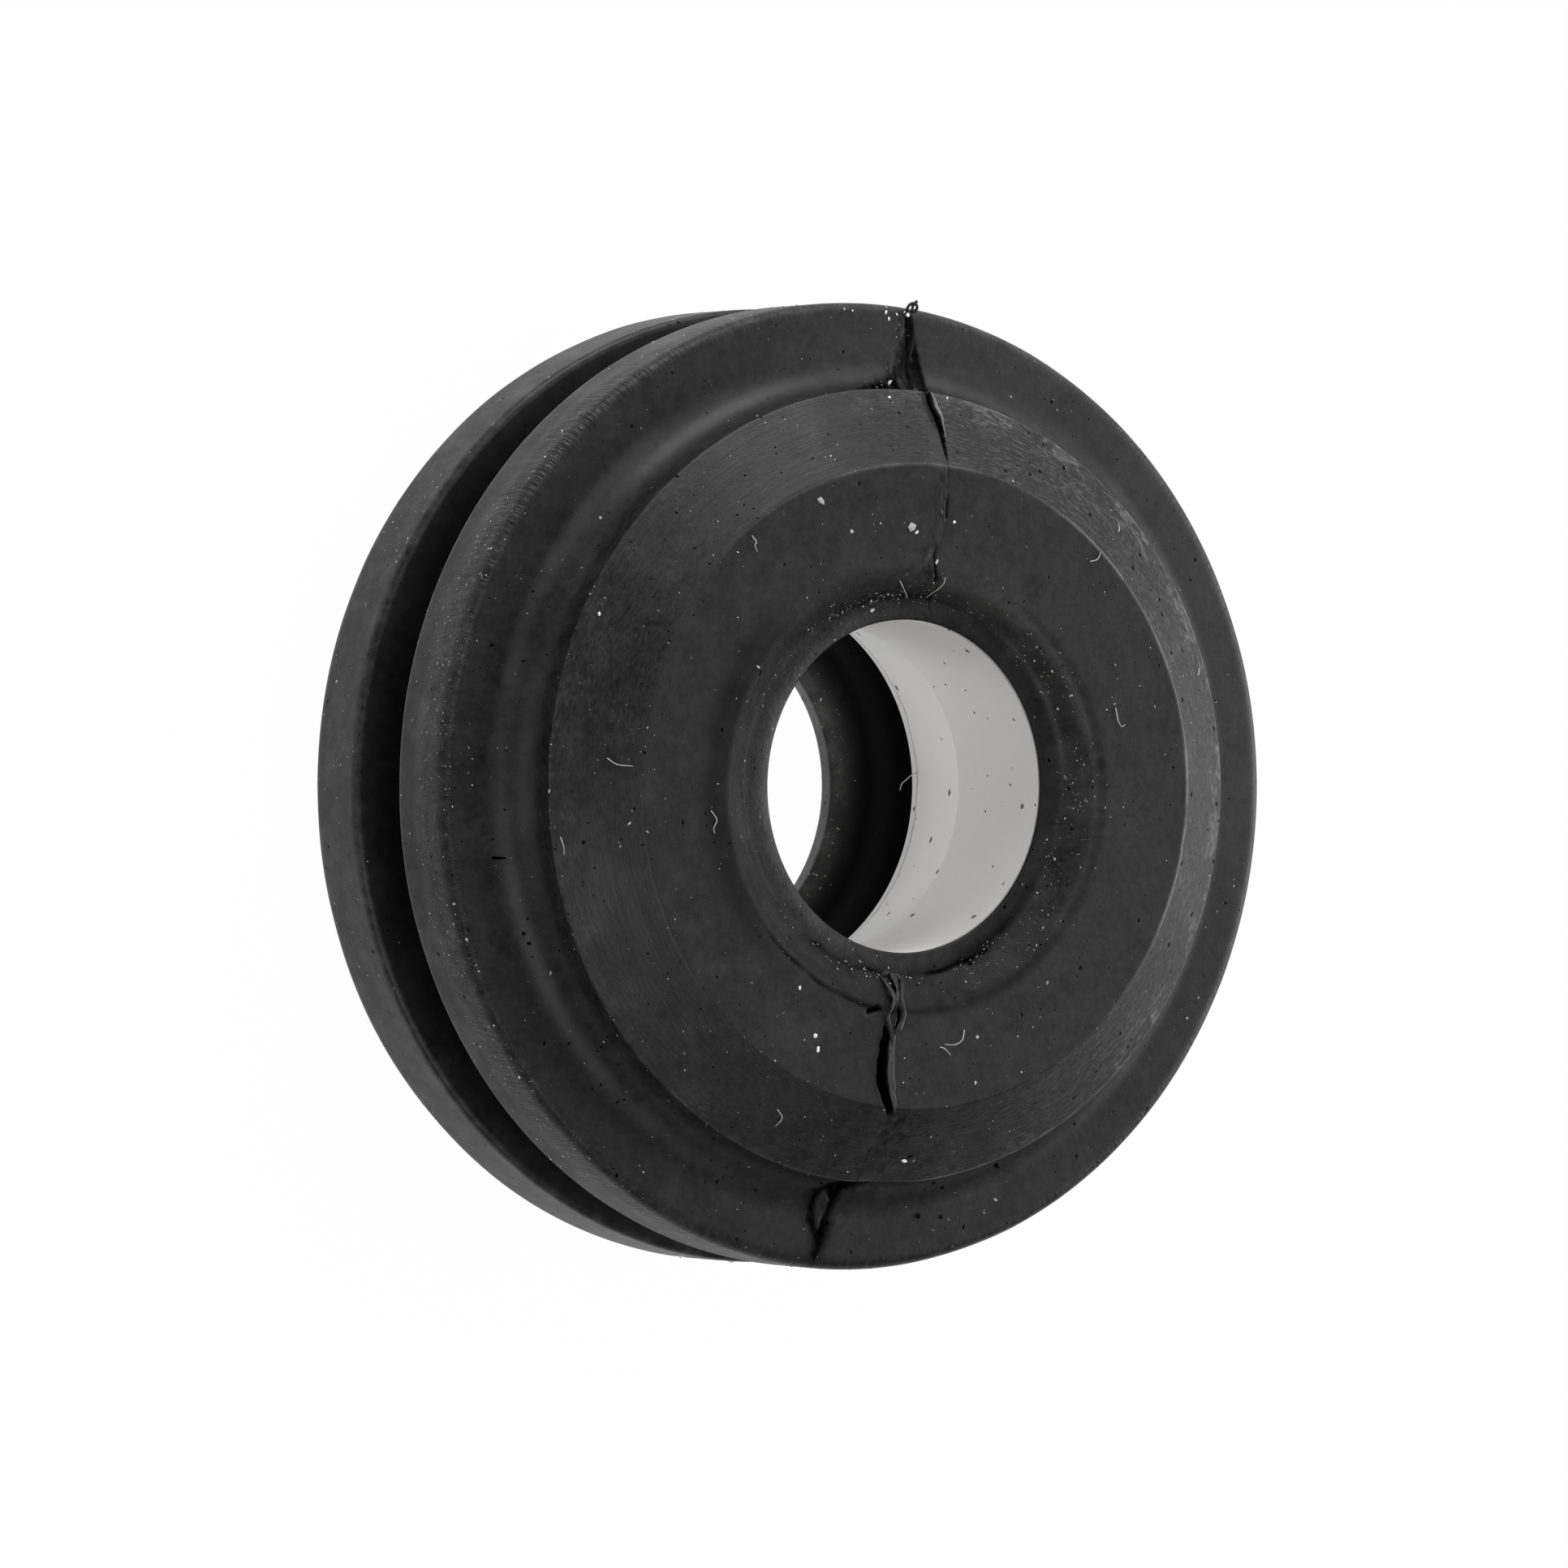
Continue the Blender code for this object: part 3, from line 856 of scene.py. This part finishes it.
def dust_crumbs(name, count, seed):
    """Mesh of small irregular crumbs, scattered by density over the rubber."""
    draw = np.random.default_rng(seed)
    row_gap = np.linalg.norm(np.gradient(profile, axis=0), axis=1)[:, None]
    column_gap = np.gradient(np.concatenate([columns, columns[:1] + 2 * math.pi]))[:-1][None]
    weight = (dust_density() * row_gap * radius * column_gap).reshape(-1)
    chosen = draw.choice(weight.size, count, p=weight / weight.sum())
    size = np.clip(draw.lognormal(math.log(0.026), 0.5, count), 0.012, 0.1) * MM
    row, column = np.divmod(chosen, len(columns))
    next_row = np.minimum(row + 1, len(profile) - 1)
    next_column = (column + 1) % len(columns)
    down, aside = draw.uniform(0, 1, (2, count, 1))
    near = moulded[row, column] * (1 - down) + moulded[next_row, column] * down
    far = moulded[row, next_column] * (1 - down) + moulded[next_row, next_column] * down
    return crumb_mesh(name, near * (1 - aside) + far * aside, normals[row, column], size, draw, 1.5)


dust = dust_crumbs("dust", DUST_CRUMBS, 41)
print("crumbs of dust:", DUST_CRUMBS)

# %% Flakes
# The larger pale flakes on the front, as (x, y, size) in millimetres
FLAKES = (
    (-7.11, 16.43, 0.2), (-4.96, 14.71, 0.13), (-0.83, 15.08, 0.24), (-0.5, 14.8, 0.15), (-20.4, 9.5, 0.14),
    (-8.0, -11.83, 0.12), (-6.9, -14.6, 0.14), (0.7, -21.9, 0.15), (-6.7, -15.4, 0.1), (4.2, -17.3, 0.12),
    (1.08, 28.3, 0.06), (1.09, 28.0, 0.08), (1.29, 27.6, 0.1), (1.83, 27.9, 0.1), (2.6, 27.9, 0.12),
    (2.35, 28.05, 0.08), (-1.25, 27.98, 0.08), (0.78, 23.76, 0.14), (-0.84, 22.75, 0.1), (3.33, 22.88, 0.1),
    (6.23, 18.04, 0.1), (2.07, 15.51, 0.1), (4.9, 11.6, 0.14), (4.3, -14.6, 0.12), (-0.8, -17.3, 0.09),
)

# Crumbs low on the rim, as (x, height, size) in millimetres
RIM_FLAKES = ((-4.4, 9.2, 0.26), (-4.1, 8.6, 0.2), (-0.75, 9.0, 0.2), (-0.4, 8.7, 0.14))


def front_place(x, y, lift=0.0):
    """Place above the front surface from x and y in millimetres."""
    spot = along_and_across(np.array([x * MM, y * MM, 0.0]))
    return on_surface(float(spot[0]), float(spot[1]), lift)


flake_places = [front_place(x, y) for x, y, size in FLAKES]
flake_ways = [(0.0, 0.0, 1.0)] * len(FLAKES)
for x, level, size in RIM_FLAKES:
    flake_places.append((x * MM, -math.sqrt(FLANGE_RADIUS**2 - (x * MM) ** 2), level * MM))
    flake_ways.append((0.0, -1.0, 0.0))
flake_sizes = np.array([size for x, y, size in FLAKES + RIM_FLAKES]) * MM
flake_draw = np.random.default_rng(43)
flakes = crumb_mesh("flakes", np.array(flake_places), np.array(flake_ways), flake_sizes, flake_draw, 0.3)

# %% Fibres of lint
FIBRE_STATIONS = 14
FIBRE_WIDTH = 0.06
BORE_FIBRE_WIDTH = 0.07 * MM
# Each fibre: places (x, y, lift) in millimetres on the front surface
FIBRES = (
    ((11.58, 13.48, 0.1), (12.04, 13.63, 0.2), (12.32, 14.03, 0.1)),
    ((13.6, 4.9, 0.05), (13.73, 4.14, 0.15), (13.96, 3.8, 0.2), (14.25, 3.91, 0.1)),
    ((-11.81, 14.25, 0.05), (-11.6, 13.9, 0.2), (-11.69, 13.7, 0.2), (-11.46, 13.33, 0.1)),
    ((-20.57, 1.23, 0.1), (-20.13, 0.87, 0.2), (-19.37, 0.79, 0.1)),
    ((3.31, -14.2, 0.1), (3.09, -14.77, 0.25), (2.59, -15.06, 0.25), (1.97, -15.06, 0.1)),
    ((1.63, -15.21, 0.1), (1.9, -15.3, 0.2), (2.38, -15.68, 0.1)),
    ((-14.29, -1.68, 0.1), (-13.95, -2.19, 0.2), (-14.11, -2.66, 0.15), (-13.99, -2.98, 0.05)),
    ((-1.44, 12.13, 0.1), (-0.9, 11.6, 0.35), (-0.09, 11.04, 0.1)),
    ((1.68, 12.36, 0.1), (1.62, 11.8, 0.4), (1.2, 11.1, 0.1)),
    ((20.9, 7.0, 0.1), (21.0, 7.2, 0.15), (21.1, 7.46, 0.1)),
    ((14.63, 15.37, 0.1), (14.8, 15.55, 0.15), (14.85, 15.86, 0.1)),
    ((-22.67, -3.33, 0.1), (-22.5, -3.9, 0.15), (-22.43, -4.35, 0.1)),
    ((-8.6, -18.9, 0.05), (-8.2, -19.4, 0.15), (-8.4, -19.9, 0.1)),
)


def fibre_rings(places, width):
    """Rings round a crooked fibre that lies on the front surface."""
    stations = [front_place(x, y, lift) for x, y, lift in places]
    widths = np.linspace(width, width * 0.6, FIBRE_STATIONS)
    return cord_rings(smooth_path(stations, FIBRE_STATIONS), widths * MM)


lint = []
for number, places in enumerate(FIBRES):
    lint.append(grid_mesh(f"fibre_{number}", fibre_rings(places, FIBRE_WIDTH)[::-1], {}))

# A longer fibre hangs from the flare inside the bore
HANGING = ((11.25, 1.0, 10.1), (10.85, 0.86, 10.0), (10.5, 0.55, 9.9), (10.25, 0.3, 9.8), (10.14, -0.1, 9.8))
hanging_path = smooth_path(np.array(HANGING) * MM, FIBRE_STATIONS)
hanging_rings = cord_rings(hanging_path, np.full(FIBRE_STATIONS, BORE_FIBRE_WIDTH))
lint.append(grid_mesh("bore_fibre", hanging_rings[::-1], {}))
print("fibres:", len(lint))

# %% Dark marks
MARK_LIFT = -0.04
# Small dark marks in the rubber, each from (x, y) to (x, y) with a width, in millimetres
MARKS = (
    (-25.1, -4.6, -24.3, -4.6, 0.192), (13.0, 0.91, 13.15, 0.91, 0.224), (4.3, -25.3, 4.5, -25.4, 0.416),
    (5.95, -25.4, 6.1, -25.45, 0.288), (4.85, -23.4, 5.0, -23.3, 0.224), (5.75, -23.6, 5.9, -23.7, 0.256),
    (9.5, -22.3, 9.75, -22.45, 0.32), (0.9, -21.7, 1.2, -21.6, 0.256),
)
marks = []
for number, (x, y, end_x, end_y, width) in enumerate(MARKS):
    rings = fibre_rings(((x, y, MARK_LIFT), (end_x, end_y, MARK_LIFT)), width)[::-1]
    marks.append(grid_mesh(f"dark_mark_{number}", rings, {"torn_and_painted_shade": np.ones(rings.shape[:2])}))

# %% The whisker
WHISKER_STATIONS = 30
WHISKER_WIDTH = 0.2 * MM
# A curled whisker of flash stands on the rim at the top of the parting line
WHISKER = (
    (2.72, 28.12, 21.4), (2.7, 28.38, 21.5), (2.92, 28.58, 21.6), (3.22, 28.52, 21.6), (3.32, 28.28, 21.5),
    (3.07, 28.13, 21.45), (3.05, 28.45, 21.5), (3.27, 28.75, 21.6),
)
whisker_path = smooth_path(np.array(WHISKER) * MM, WHISKER_STATIONS)
whisker_rings = cord_rings(whisker_path, np.full(WHISKER_STATIONS, WHISKER_WIDTH))
whisker = grid_mesh("whisker", whisker_rings[::-1], {})
print("dark marks:", len(marks), "and the whisker has", len(whisker.data.polygons), "faces")

# %% [markdown]
# ## Writing a finish as arithmetic
#
# A finish is worked out for each point of the surface: where the dust lies, how rough a scratch is.
# Drawn as nodes, such sums sprawl. This small class wraps the output socket of a node, so that
# ordinary Python operators add the Math nodes, and one method adds any other node.

# %% The wire class
class Wire:
    """The output socket of a node, on which arithmetic adds Math or Vector Math nodes."""

    def __init__(self, tree, socket=None):
        self.tree = tree
        self.socket = socket

    def node(self, kind, settings=None, sockets=None, output=0):
        """Any node: its settings are set first, then its sockets get values or links."""
        made = self.tree.nodes.new(kind)
        for name, value in (settings or {}).items():
            setattr(made, name, value)
        for name, value in (sockets or {}).items():
            if isinstance(value, Wire):
                self.tree.links.new(value.socket, made.inputs[name])
            else:
                made.inputs[name].default_value = value
        return Wire(self.tree, made.outputs[output])

    def twin(self, output):
        """Another output of the same node."""
        return Wire(self.tree, self.socket.node.outputs[output])

    def sums(self, operation, first, second):
        """A Math node on values, or a Vector Math node when this wire carries a vector."""
        if self.socket.type == "VECTOR":
            both = [(value,) * 3 if isinstance(value, (int, float)) else value for value in (first, second)]
            return self.node("ShaderNodeVectorMath", {"operation": operation}, dict(enumerate(both)))
        return self.node("ShaderNodeMath", {"operation": operation}, {0: first, 1: second})

    def __add__(self, other):
        return self.sums("ADD", self, other)

    def __radd__(self, other):
        return self.sums("ADD", other, self)

    def __sub__(self, other):
        return self.sums("SUBTRACT", self, other)

    def __rsub__(self, other):
        return self.sums("SUBTRACT", other, self)

    def __mul__(self, other):
        return self.sums("MULTIPLY", self, other)

    def __rmul__(self, other):
        return self.sums("MULTIPLY", other, self)

    def __truediv__(self, other):
        return self.sums("DIVIDE", self, other)

    def __pow__(self, other):
        return self.sums("POWER", self, other)

    def between(self, start, end):
        """0 below start, 1 above end, and a smooth rise between them."""
        settings = {"interpolation_type": "SMOOTHSTEP"}
        return self.node("ShaderNodeMapRange", settings, {"Value": self, "From Min": start, "From Max": end})

    def fact(self, name):
        """A fact that the mesh carries at its points."""
        return self.node("ShaderNodeAttribute", {"attribute_name": name}, {}, 2)

    def at_least(self, floor_value):
        """The value, held at or above a smallest value."""
        return self.sums("MAXIMUM", self, floor_value)

    def clamped(self):
        """The value held between 0 and 1."""
        return self.node("ShaderNodeClamp", {}, {"Value": self})

    def packed(self, first, second, third):
        """Three values joined into one place."""
        return self.node("ShaderNodeCombineXYZ", {}, {0: first, 1: second, 2: third})

    def noise(self, scale, detail=2.0, roughness=0.5):
        """Value of a noise texture, from 0 to 1, at the place that this wire carries."""
        sockets = {"Vector": self, "Scale": scale, "Detail": detail, "Roughness": roughness}
        return self.node("ShaderNodeTexNoise", {}, sockets)

    def dots(self, scale, size, share):
        """1 on round dots scattered at this place: size in cells, in the given share of cells."""
        near = self.node("ShaderNodeTexVoronoi", {}, {"Vector": self, "Scale": scale})
        pick = self.node("ShaderNodeSeparateColor", {}, {0: near.twin(1)})
        return (1 - near.between(size * 0.6, size)) * pick.between(1 - share, 1.01 - share)


# %% Helpers for a finish
def grey(level):
    """A neutral colour of one linear level."""
    return (level, level, level, 1.0)


def new_finish(name):
    """An empty material: the place on the object, as a wire, and its shader."""
    material = bpy.data.materials.new(name)
    material.use_nodes = True
    shader = material.node_tree.nodes["Principled BSDF"]
    place = Wire(material.node_tree).node("ShaderNodeTexCoord", {}, {}, 3)
    return material, place, shader


def feed(shader, name, value):
    """Link a wire to the shader's socket, or set the socket if value is a number or a colour."""
    if isinstance(value, Wire):
        value.tree.links.new(value.socket, shader.inputs[name])
    else:
        shader.inputs[name].default_value = value


def tinted(level, warmth=0.0):
    """A grey wire as a colour, a little warmer or cooler."""
    shares = {0: level * (1 + warmth), 1: level, 2: level * (1 - warmth)}
    return level.node("ShaderNodeCombineColor", {}, shares)


# %% [markdown]
# ## Black rubber
#
# Moulded rubber copies its mould. The chamfer shows the fine rings of the lathe tool that cut the
# mould, the rim shows short ripples where the rubber stopped flowing, and the whole surface has
# a soft grain with paler blotches of mould release. On the chamfer's right, the rings and scratches
# are painted much lighter as a painted reflection. The sums work in a frame that follows the
# form: a direction round the axis, the radius and the height.

# %% Textures that run round the axis
def turned_place(place):
    """The direction round the axis, as its x and y, with the radius and the height."""
    x = place.node("ShaderNodeSeparateXYZ", {}, {0: place})
    y, z = x.twin(1), x.twin(2)
    radius = (x * x + y * y) ** 0.5
    return x / radius, y / radius, radius, z


def turned_textures(around_x, around_y, radius, z):
    """Tool rings, scratches and rim wrinkles, all long in the turn and fine across it."""
    across_rings = (radius - z) * 3000
    rings = z.packed(around_x * 3.0, around_y * 3.0, across_rings).noise(1.0, 3.0, 0.65)
    scratches = z.packed(around_x * 40, around_y * 40, across_rings * 1.8).noise(1.0, 3.0, 0.7)
    wrinkles = z.packed(around_x * 110, around_y * 110, z * 700 + radius * 700).noise(1.0, 2.0, 0.6)
    return rings, scratches, wrinkles


# %% Zones of the rubber
def ring_zones(place, radius):
    """1 on the chamfer, on its chafed patches, on the rim and on the flange's face, and 0 elsewhere."""
    chamfer = radius.between(18.8 * MM, 19.0 * MM) * (1 - radius.between(23.2 * MM, 23.4 * MM))
    worn = place.noise(420.0, 3.0, 0.65).between(0.5, 0.57)
    chafed = chamfer * radius.between(21.2 * MM, 22.8 * MM) * worn
    rim = radius.between(27.8 * MM, 28.4 * MM)
    flange_face = radius.between(24.5 * MM, 25.5 * MM) * (1 - rim)
    return chamfer, chafed, rim, flange_face


def rim_painted_shade(around_x, around_y, z):
    """How much painted shade darkens the upper part of the rim on its left, most at the lower left."""
    lower_left = (around_x * -0.6 - around_y * 0.8).between(0.3, 0.9)
    upper_left = (around_y * 0.7 - around_x * 0.7).between(0.3, 0.9)
    return z.between(15.0 * MM, 17.0 * MM) * (lower_left * 0.24 + upper_left * 0.09)


# %% The black rubber
RUBBER_LEVEL = 0.009


def black_rubber(name, shine, dusty_sheen=0.0):
    """Matt black rubber with tool rings, ripples, blotches, pinholes and torn places, and painted light and
    shade.
    """
    material, place, shader = new_finish(name)
    facts_read = ("torn_and_painted_shade", "smear", "crease", "edge", "ripple", "shelter_and_painted_shade")
    torn_and_painted_shade, smear, crease, edge, ripple, shelter_and_painted_shade = (place.fact(fact) for fact in facts_read)
    around_x, around_y, radius, z = turned_place(place)
    rings, scratches, wrinkles = turned_textures(around_x, around_y, radius, z)
    chamfer, chafed, rim, flange_face = ring_zones(place, radius)
    right = (around_x * 0.9 + around_y * 0.2).between(0.0, 0.7)
    upper_right = (around_x * 0.7 + around_y * 0.7).between(0.2, 0.9)

    # Noise in bumps of a few millimetres down to a tenth
    blotch = place.noise(260.0, 2.0, 0.5).between(0.48, 0.74)
    cloud = place.noise(800.0, 4.0, 0.6)
    fine = place.noise(2600.0, 3.0, 0.65)
    grain = place.noise(9000.0, 2.0, 0.6)
    mottle = place.noise(1400.0, 3.0, 0.6).between(0.42, 0.66)

    # Darkening, which also dims reflections: torn rubber with painted shade in its tears and hollows,
    # pits, smears, the chamfer's right side, whose reflection is painted in below, and painted shade on
    # the left of the rim
    bent = place + cloud * (0.5 * MM)
    pits = bent.dots(760.0, 0.11, 0.3) + bent.dots(1900.0, 0.15, 0.2)
    pits = (pits + bent.dots(950.0, 0.17, 0.4) * chamfer * right).clamped()
    dark = torn_and_painted_shade + pits * 0.8 + smear * mottle * 0.6 + chamfer * right * 0.28
    dark = (dark + rim * rim_painted_shade(around_x, around_y, z)).clamped()

    # Lighter colour on the black, in shares of the rubber's own level: a thin grey film, a paler rim,
    # dust in the crease, and painted highlights on the chamfer's right, on the flange face's upper right
    # and on the edge lines
    film = blotch * 0.8 + (cloud - 0.5) * 2.5 + (fine - 0.5) * 2.0
    film = film + chamfer * ((rings - 0.5) * right * 17.0 + (scratches - 0.5) * (4.0 + right * 38.0))
    film = film + chafed * (scratches - 0.3) * (4.0 + right * 26.0) + upper_right * flange_face * 0.9
    film = film + rim * (cloud.between(0.4, 0.68) * 1.5 + (fine - 0.5) * 3.0)
    film = film + crease * (cloud - 0.4) * 3.0 + edge * (2.0 + fine * 6.0)
    # The level drops with the darkening, and nearly to black under the painted shade of the groove and the
    # bore
    level = RUBBER_LEVEL * (0.85 + film).at_least(0.1) * (1 - 0.9 * dark) * (1 - 0.985 * shelter_and_painted_shade)

    # Roughness, and the fine relief that the bump shows
    rough = 0.46 + (rings - 0.5) * chamfer * 0.25 + (scratches - 0.5) * chamfer * 0.3 - blotch * 0.05
    rough = (rough + (fine - 0.5) * 0.14 + dark * 0.3 + shelter_and_painted_shade * 0.3).clamped()
    relief = grain * 0.12 + fine * 0.45 + cloud * 0.4 + (rings * 0.8 + scratches * 0.8) * chamfer
    relief = relief + ripple * wrinkles * 8.0 + smear * fine * 0.3 - pits * 2.0 + crease * fine * 1.5
    bump = place.node("ShaderNodeBump", {}, {"Strength": 0.7, "Distance": 0.03 * MM, "Height": relief})
    feed(shader, "Base Color", tinted(level, 0.012))
    feed(shader, "Roughness", rough)
    feed(shader, "Metallic", dark)
    feed(shader, "Normal", bump)
    feed(shader, "IOR", 1.48)
    feed(shader, "Specular IOR Level", shine)
    if dusty_sheen:
        feed(shader, "Coat Weight", (1 - shelter_and_painted_shade) * dusty_sheen)
        feed(shader, "Coat Roughness", 0.4)
    return material


# %% Dress the rubber
def dress(pieces, finish, node):
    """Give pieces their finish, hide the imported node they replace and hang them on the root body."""
    for piece in pieces:
        piece.data.materials.append(finish)
        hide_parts(node)
        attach(piece, "root")


open_rubber = black_rubber("black_rubber", 0.3)
dress(rubber + lips + strands + marks + [whisker], open_rubber, "rubber_bush")
deep_rubber = black_rubber("sheltered_rubber", 0.12, 0.7)
dress(sheltered_rubber, deep_rubber, "rubber_bush")
print("rubber nodes:", len(open_rubber.node_tree.nodes))

# %% [markdown]
# ## Satin steel
#
# The sleeve has a plain, slightly cloudy satin surface with a few dark specks. A metal takes nearly
# all its look from what it reflects, so its colour drifts very little. Its colour is painted a little
# lighter towards the top and the bottom of the bore and in the flare, a painted reflection, as the
# photograph shows.

# %% The satin steel
def satin_steel():
    """Satin grey steel with faint cloudiness, dark specks, a line near the flare's end and a painted
    reflection.
    """
    material, place, shader = new_finish("satin_steel")
    cloud = place.noise(420.0, 4.0, 0.6)
    fine = place.noise(3000.0, 3.0, 0.6)
    axes = place.node("ShaderNodeSeparateXYZ", {}, {0: place})
    y, z = axes.twin(1), axes.twin(2)
    flare_top = MIDDLE + SLEEVE_REAR + FLARE_LENGTH
    flare = 1 - z.between(flare_top - 0.05 * MM, flare_top + 0.05 * MM)
    specks = (place.dots(480.0, 0.12, 0.5) + place.dots(900.0, 0.1, 0.3)).clamped()
    bent = z + (cloud - 0.5) * (1.2 * MM)
    line_place = flare_top - FLARE_LENGTH + 0.8 * MM
    line = bent.between(line_place - 0.2 * MM, line_place)
    line = line * (1 - bent.between(line_place, line_place + 0.2 * MM))
    # Painted reflection: the colour is lighter in the flare and towards the top and the bottom of the bore
    level = 0.74 + flare * 0.1 + y * y * 2500.0 + (cloud - 0.5) * 0.06 + (fine - 0.5) * 0.03
    level = level * (1 - 0.9 * specks) * (1 - 0.4 * line)
    feed(shader, "Base Color", tinted(level, 0.014))
    feed(shader, "Roughness", 0.5 + (cloud - 0.5) * 0.1)
    feed(shader, "Metallic", 0.6)
    relief = cloud * 0.6 + fine * 0.4
    bump = place.node("ShaderNodeBump", {}, {"Strength": 0.3, "Distance": 0.02 * MM, "Height": relief})
    feed(shader, "Normal", bump)
    return material


dress([sleeve], satin_steel(), "inner_sleeve")

# %% [markdown]
# ## Dust and lint finishes
#
# Dust is off-white and quite matt, and its crumbs differ in level. The larger flakes are brighter
# and a little cooler in colour.

# %% Dust and lint
def pale_dust(name, level, warmth):
    """Matt off-white whose level differs from crumb to crumb."""
    material, place, shader = new_finish(name)
    feed(shader, "Base Color", tinted(level * place.fact("shade"), warmth))
    feed(shader, "Roughness", 0.8)
    return material


def plain_lint():
    """Matt off-white fibre with slight variation along it."""
    material, place, shader = new_finish("lint")
    feed(shader, "Base Color", tinted(0.35 + place.noise(2500.0) * 0.3, 0.01))
    feed(shader, "Roughness", 0.7)
    return material


dress([dust], pale_dust("pale_dust", 0.5, 0.01), "rubber_bush")
dress([flakes], pale_dust("cool_flakes", 0.85, -0.06), "rubber_bush")
dress(lint, plain_lint(), "rubber_bush")
print("finishes:", sorted(material.name for material in bpy.data.materials))

# %% [markdown]
# ## Floor, light and camera
#
# The part is shown on a plain white floor under soft light. The floor is white for the camera and
# in reflections, and keeps a share of its real shading, so that the shadow stays.

# %% White floor
FLOOR_WHITENESS = 0.985


def floor_finish():
    """White floor that shows as white and keeps a part of the shadow."""
    material = bpy.data.materials.new("white_floor")
    material.use_nodes = True
    tree = material.node_tree
    tree.nodes.clear()
    camera_ray = Wire(tree).node("ShaderNodeLightPath")
    glossy_ray = camera_ray.twin("Is Glossy Ray")
    through_ray = camera_ray.twin("Is Transmission Ray")
    share = (camera_ray + glossy_ray + through_ray).clamped() * FLOOR_WHITENESS
    paint = camera_ray.node("ShaderNodeBsdfDiffuse", {}, {"Color": grey(0.85)})
    glow = camera_ray.node("ShaderNodeEmission", {}, {"Color": grey(1.0), "Strength": 1.0})
    both = camera_ray.node("ShaderNodeMixShader", {}, {0: share, 1: paint, 2: glow})
    output = tree.nodes.new("ShaderNodeOutputMaterial")
    tree.links.new(both.socket, output.inputs["Surface"])
    return material


FLOOR_SIZE = 3.0
half = FLOOR_SIZE / 2
floor_mesh = bpy.data.meshes.new("floor")
floor_corners = [(-half, -half, 0), (half, -half, 0), (half, half, 0), (-half, half, 0)]
floor_mesh.from_pydata(floor_corners, [], [(0, 1, 2, 3)])
floor = bpy.data.objects.new("floor", floor_mesh)
floor.data.materials.append(floor_finish())
bpy.context.scene.collection.objects.link(floor)
print("floor:", FLOOR_SIZE, "m square")

# %% Soft light
LAMP_DISTANCE = 0.55
LAMP_SIZE = 0.3
WORLD_LEVEL = 0.13
PART_MIDDLE = Vector((0.0, 0.0, 14.0 * MM))


def soft_lamp(name, turn, rise_angle, watts):
    """A square lamp that faces the part, from a turn round it and an angle above the floor."""
    light = bpy.data.lights.new(name, "AREA")
    light.size = LAMP_SIZE
    light.energy = watts
    lamp = bpy.data.objects.new(name, light)
    flat = math.cos(math.radians(rise_angle))
    side_way = (flat * math.cos(math.radians(turn)), flat * math.sin(math.radians(turn)))
    way = Vector((*side_way, math.sin(math.radians(rise_angle))))
    lamp.location = PART_MIDDLE + way * LAMP_DISTANCE
    lamp.rotation_euler = (-way).to_track_quat("-Z", "Y").to_euler()
    bpy.context.scene.collection.objects.link(lamp)
    return lamp


world = bpy.data.worlds.new("studio")
world.use_nodes = True
world.node_tree.nodes["Background"].inputs["Color"].default_value = grey(1.0)
world.node_tree.nodes["Background"].inputs["Strength"].default_value = WORLD_LEVEL
bpy.context.scene.world = world

# Each lamp: (turn round the part and angle above the floor in degrees, watts)
LAMPS = {
    "right_low": (0, 15, 1.4),
    "right_high": (0, 35, 0.7),
    "upper_right": (45, 15, 0.7),
    "top_low": (90, 15, 2.15),
    "top_high": (90, 60, 0.7),
    "left_low": (180, 15, 0.55),
    "lower_left": (225, 60, 1.0),
    "bottom": (270, 35, 0.22),
}
for name, (turn_round, rise_angle, watts) in LAMPS.items():
    soft_lamp(name, turn_round, rise_angle, watts)
print("lamps:", len(LAMPS))

# %% [markdown]
# ## The camera
#
# The photograph looks at the front face, turned about a third of a right angle to the side, through
# a long lens. Here the part stands on its back, so the same view is a camera that looks steeply
# down. Its turn, tilt and roll are given in the frame of the part, with +Y up in the photograph.

# %% The photograph's camera
CAMERA_DISTANCE = 0.570
CAMERA_TURN = math.radians(31.725)
CAMERA_TILT = math.radians(-0.484)
CAMERA_ROLL = math.radians(0.973)
CAMERA_SHIFT = (4.636 * MM, 0.122 * MM)
LENS_PER_FRAME = 6.1699
SENSOR = 36.0


def photograph_camera():
    """Camera with the photograph's view of the part."""
    base = Matrix((
        (math.cos(CAMERA_TURN), 0, math.sin(CAMERA_TURN)),
        (0, -1, 0),
        (math.sin(CAMERA_TURN), 0, -math.cos(CAMERA_TURN)),
    ))
    tilt = Matrix.Rotation(CAMERA_TILT, 3, "X")
    roll = Matrix.Rotation(CAMERA_ROLL, 3, "Z")
    right, down, ahead = roll @ tilt @ base
    place = -(CAMERA_SHIFT[0] * right + CAMERA_SHIFT[1] * down + CAMERA_DISTANCE * ahead)
    data = bpy.data.cameras.new("camera")
    data.lens = LENS_PER_FRAME * SENSOR
    data.sensor_width = SENSOR
    data.clip_start = 0.01
    data.clip_end = 10.0
    camera = bpy.data.objects.new("camera", data)
    turned = Matrix((right, -down, -ahead)).transposed().to_4x4()
    camera.matrix_world = Matrix.Translation(place + Vector((0, 0, MIDDLE + FLANGE_FACE))) @ turned
    bpy.context.scene.collection.objects.link(camera)
    return camera


bpy.context.scene.camera = photograph_camera()
bpy.context.scene.view_settings.view_transform = "Standard"
print("lens", round(bpy.context.scene.camera.data.lens, 1), "mm")
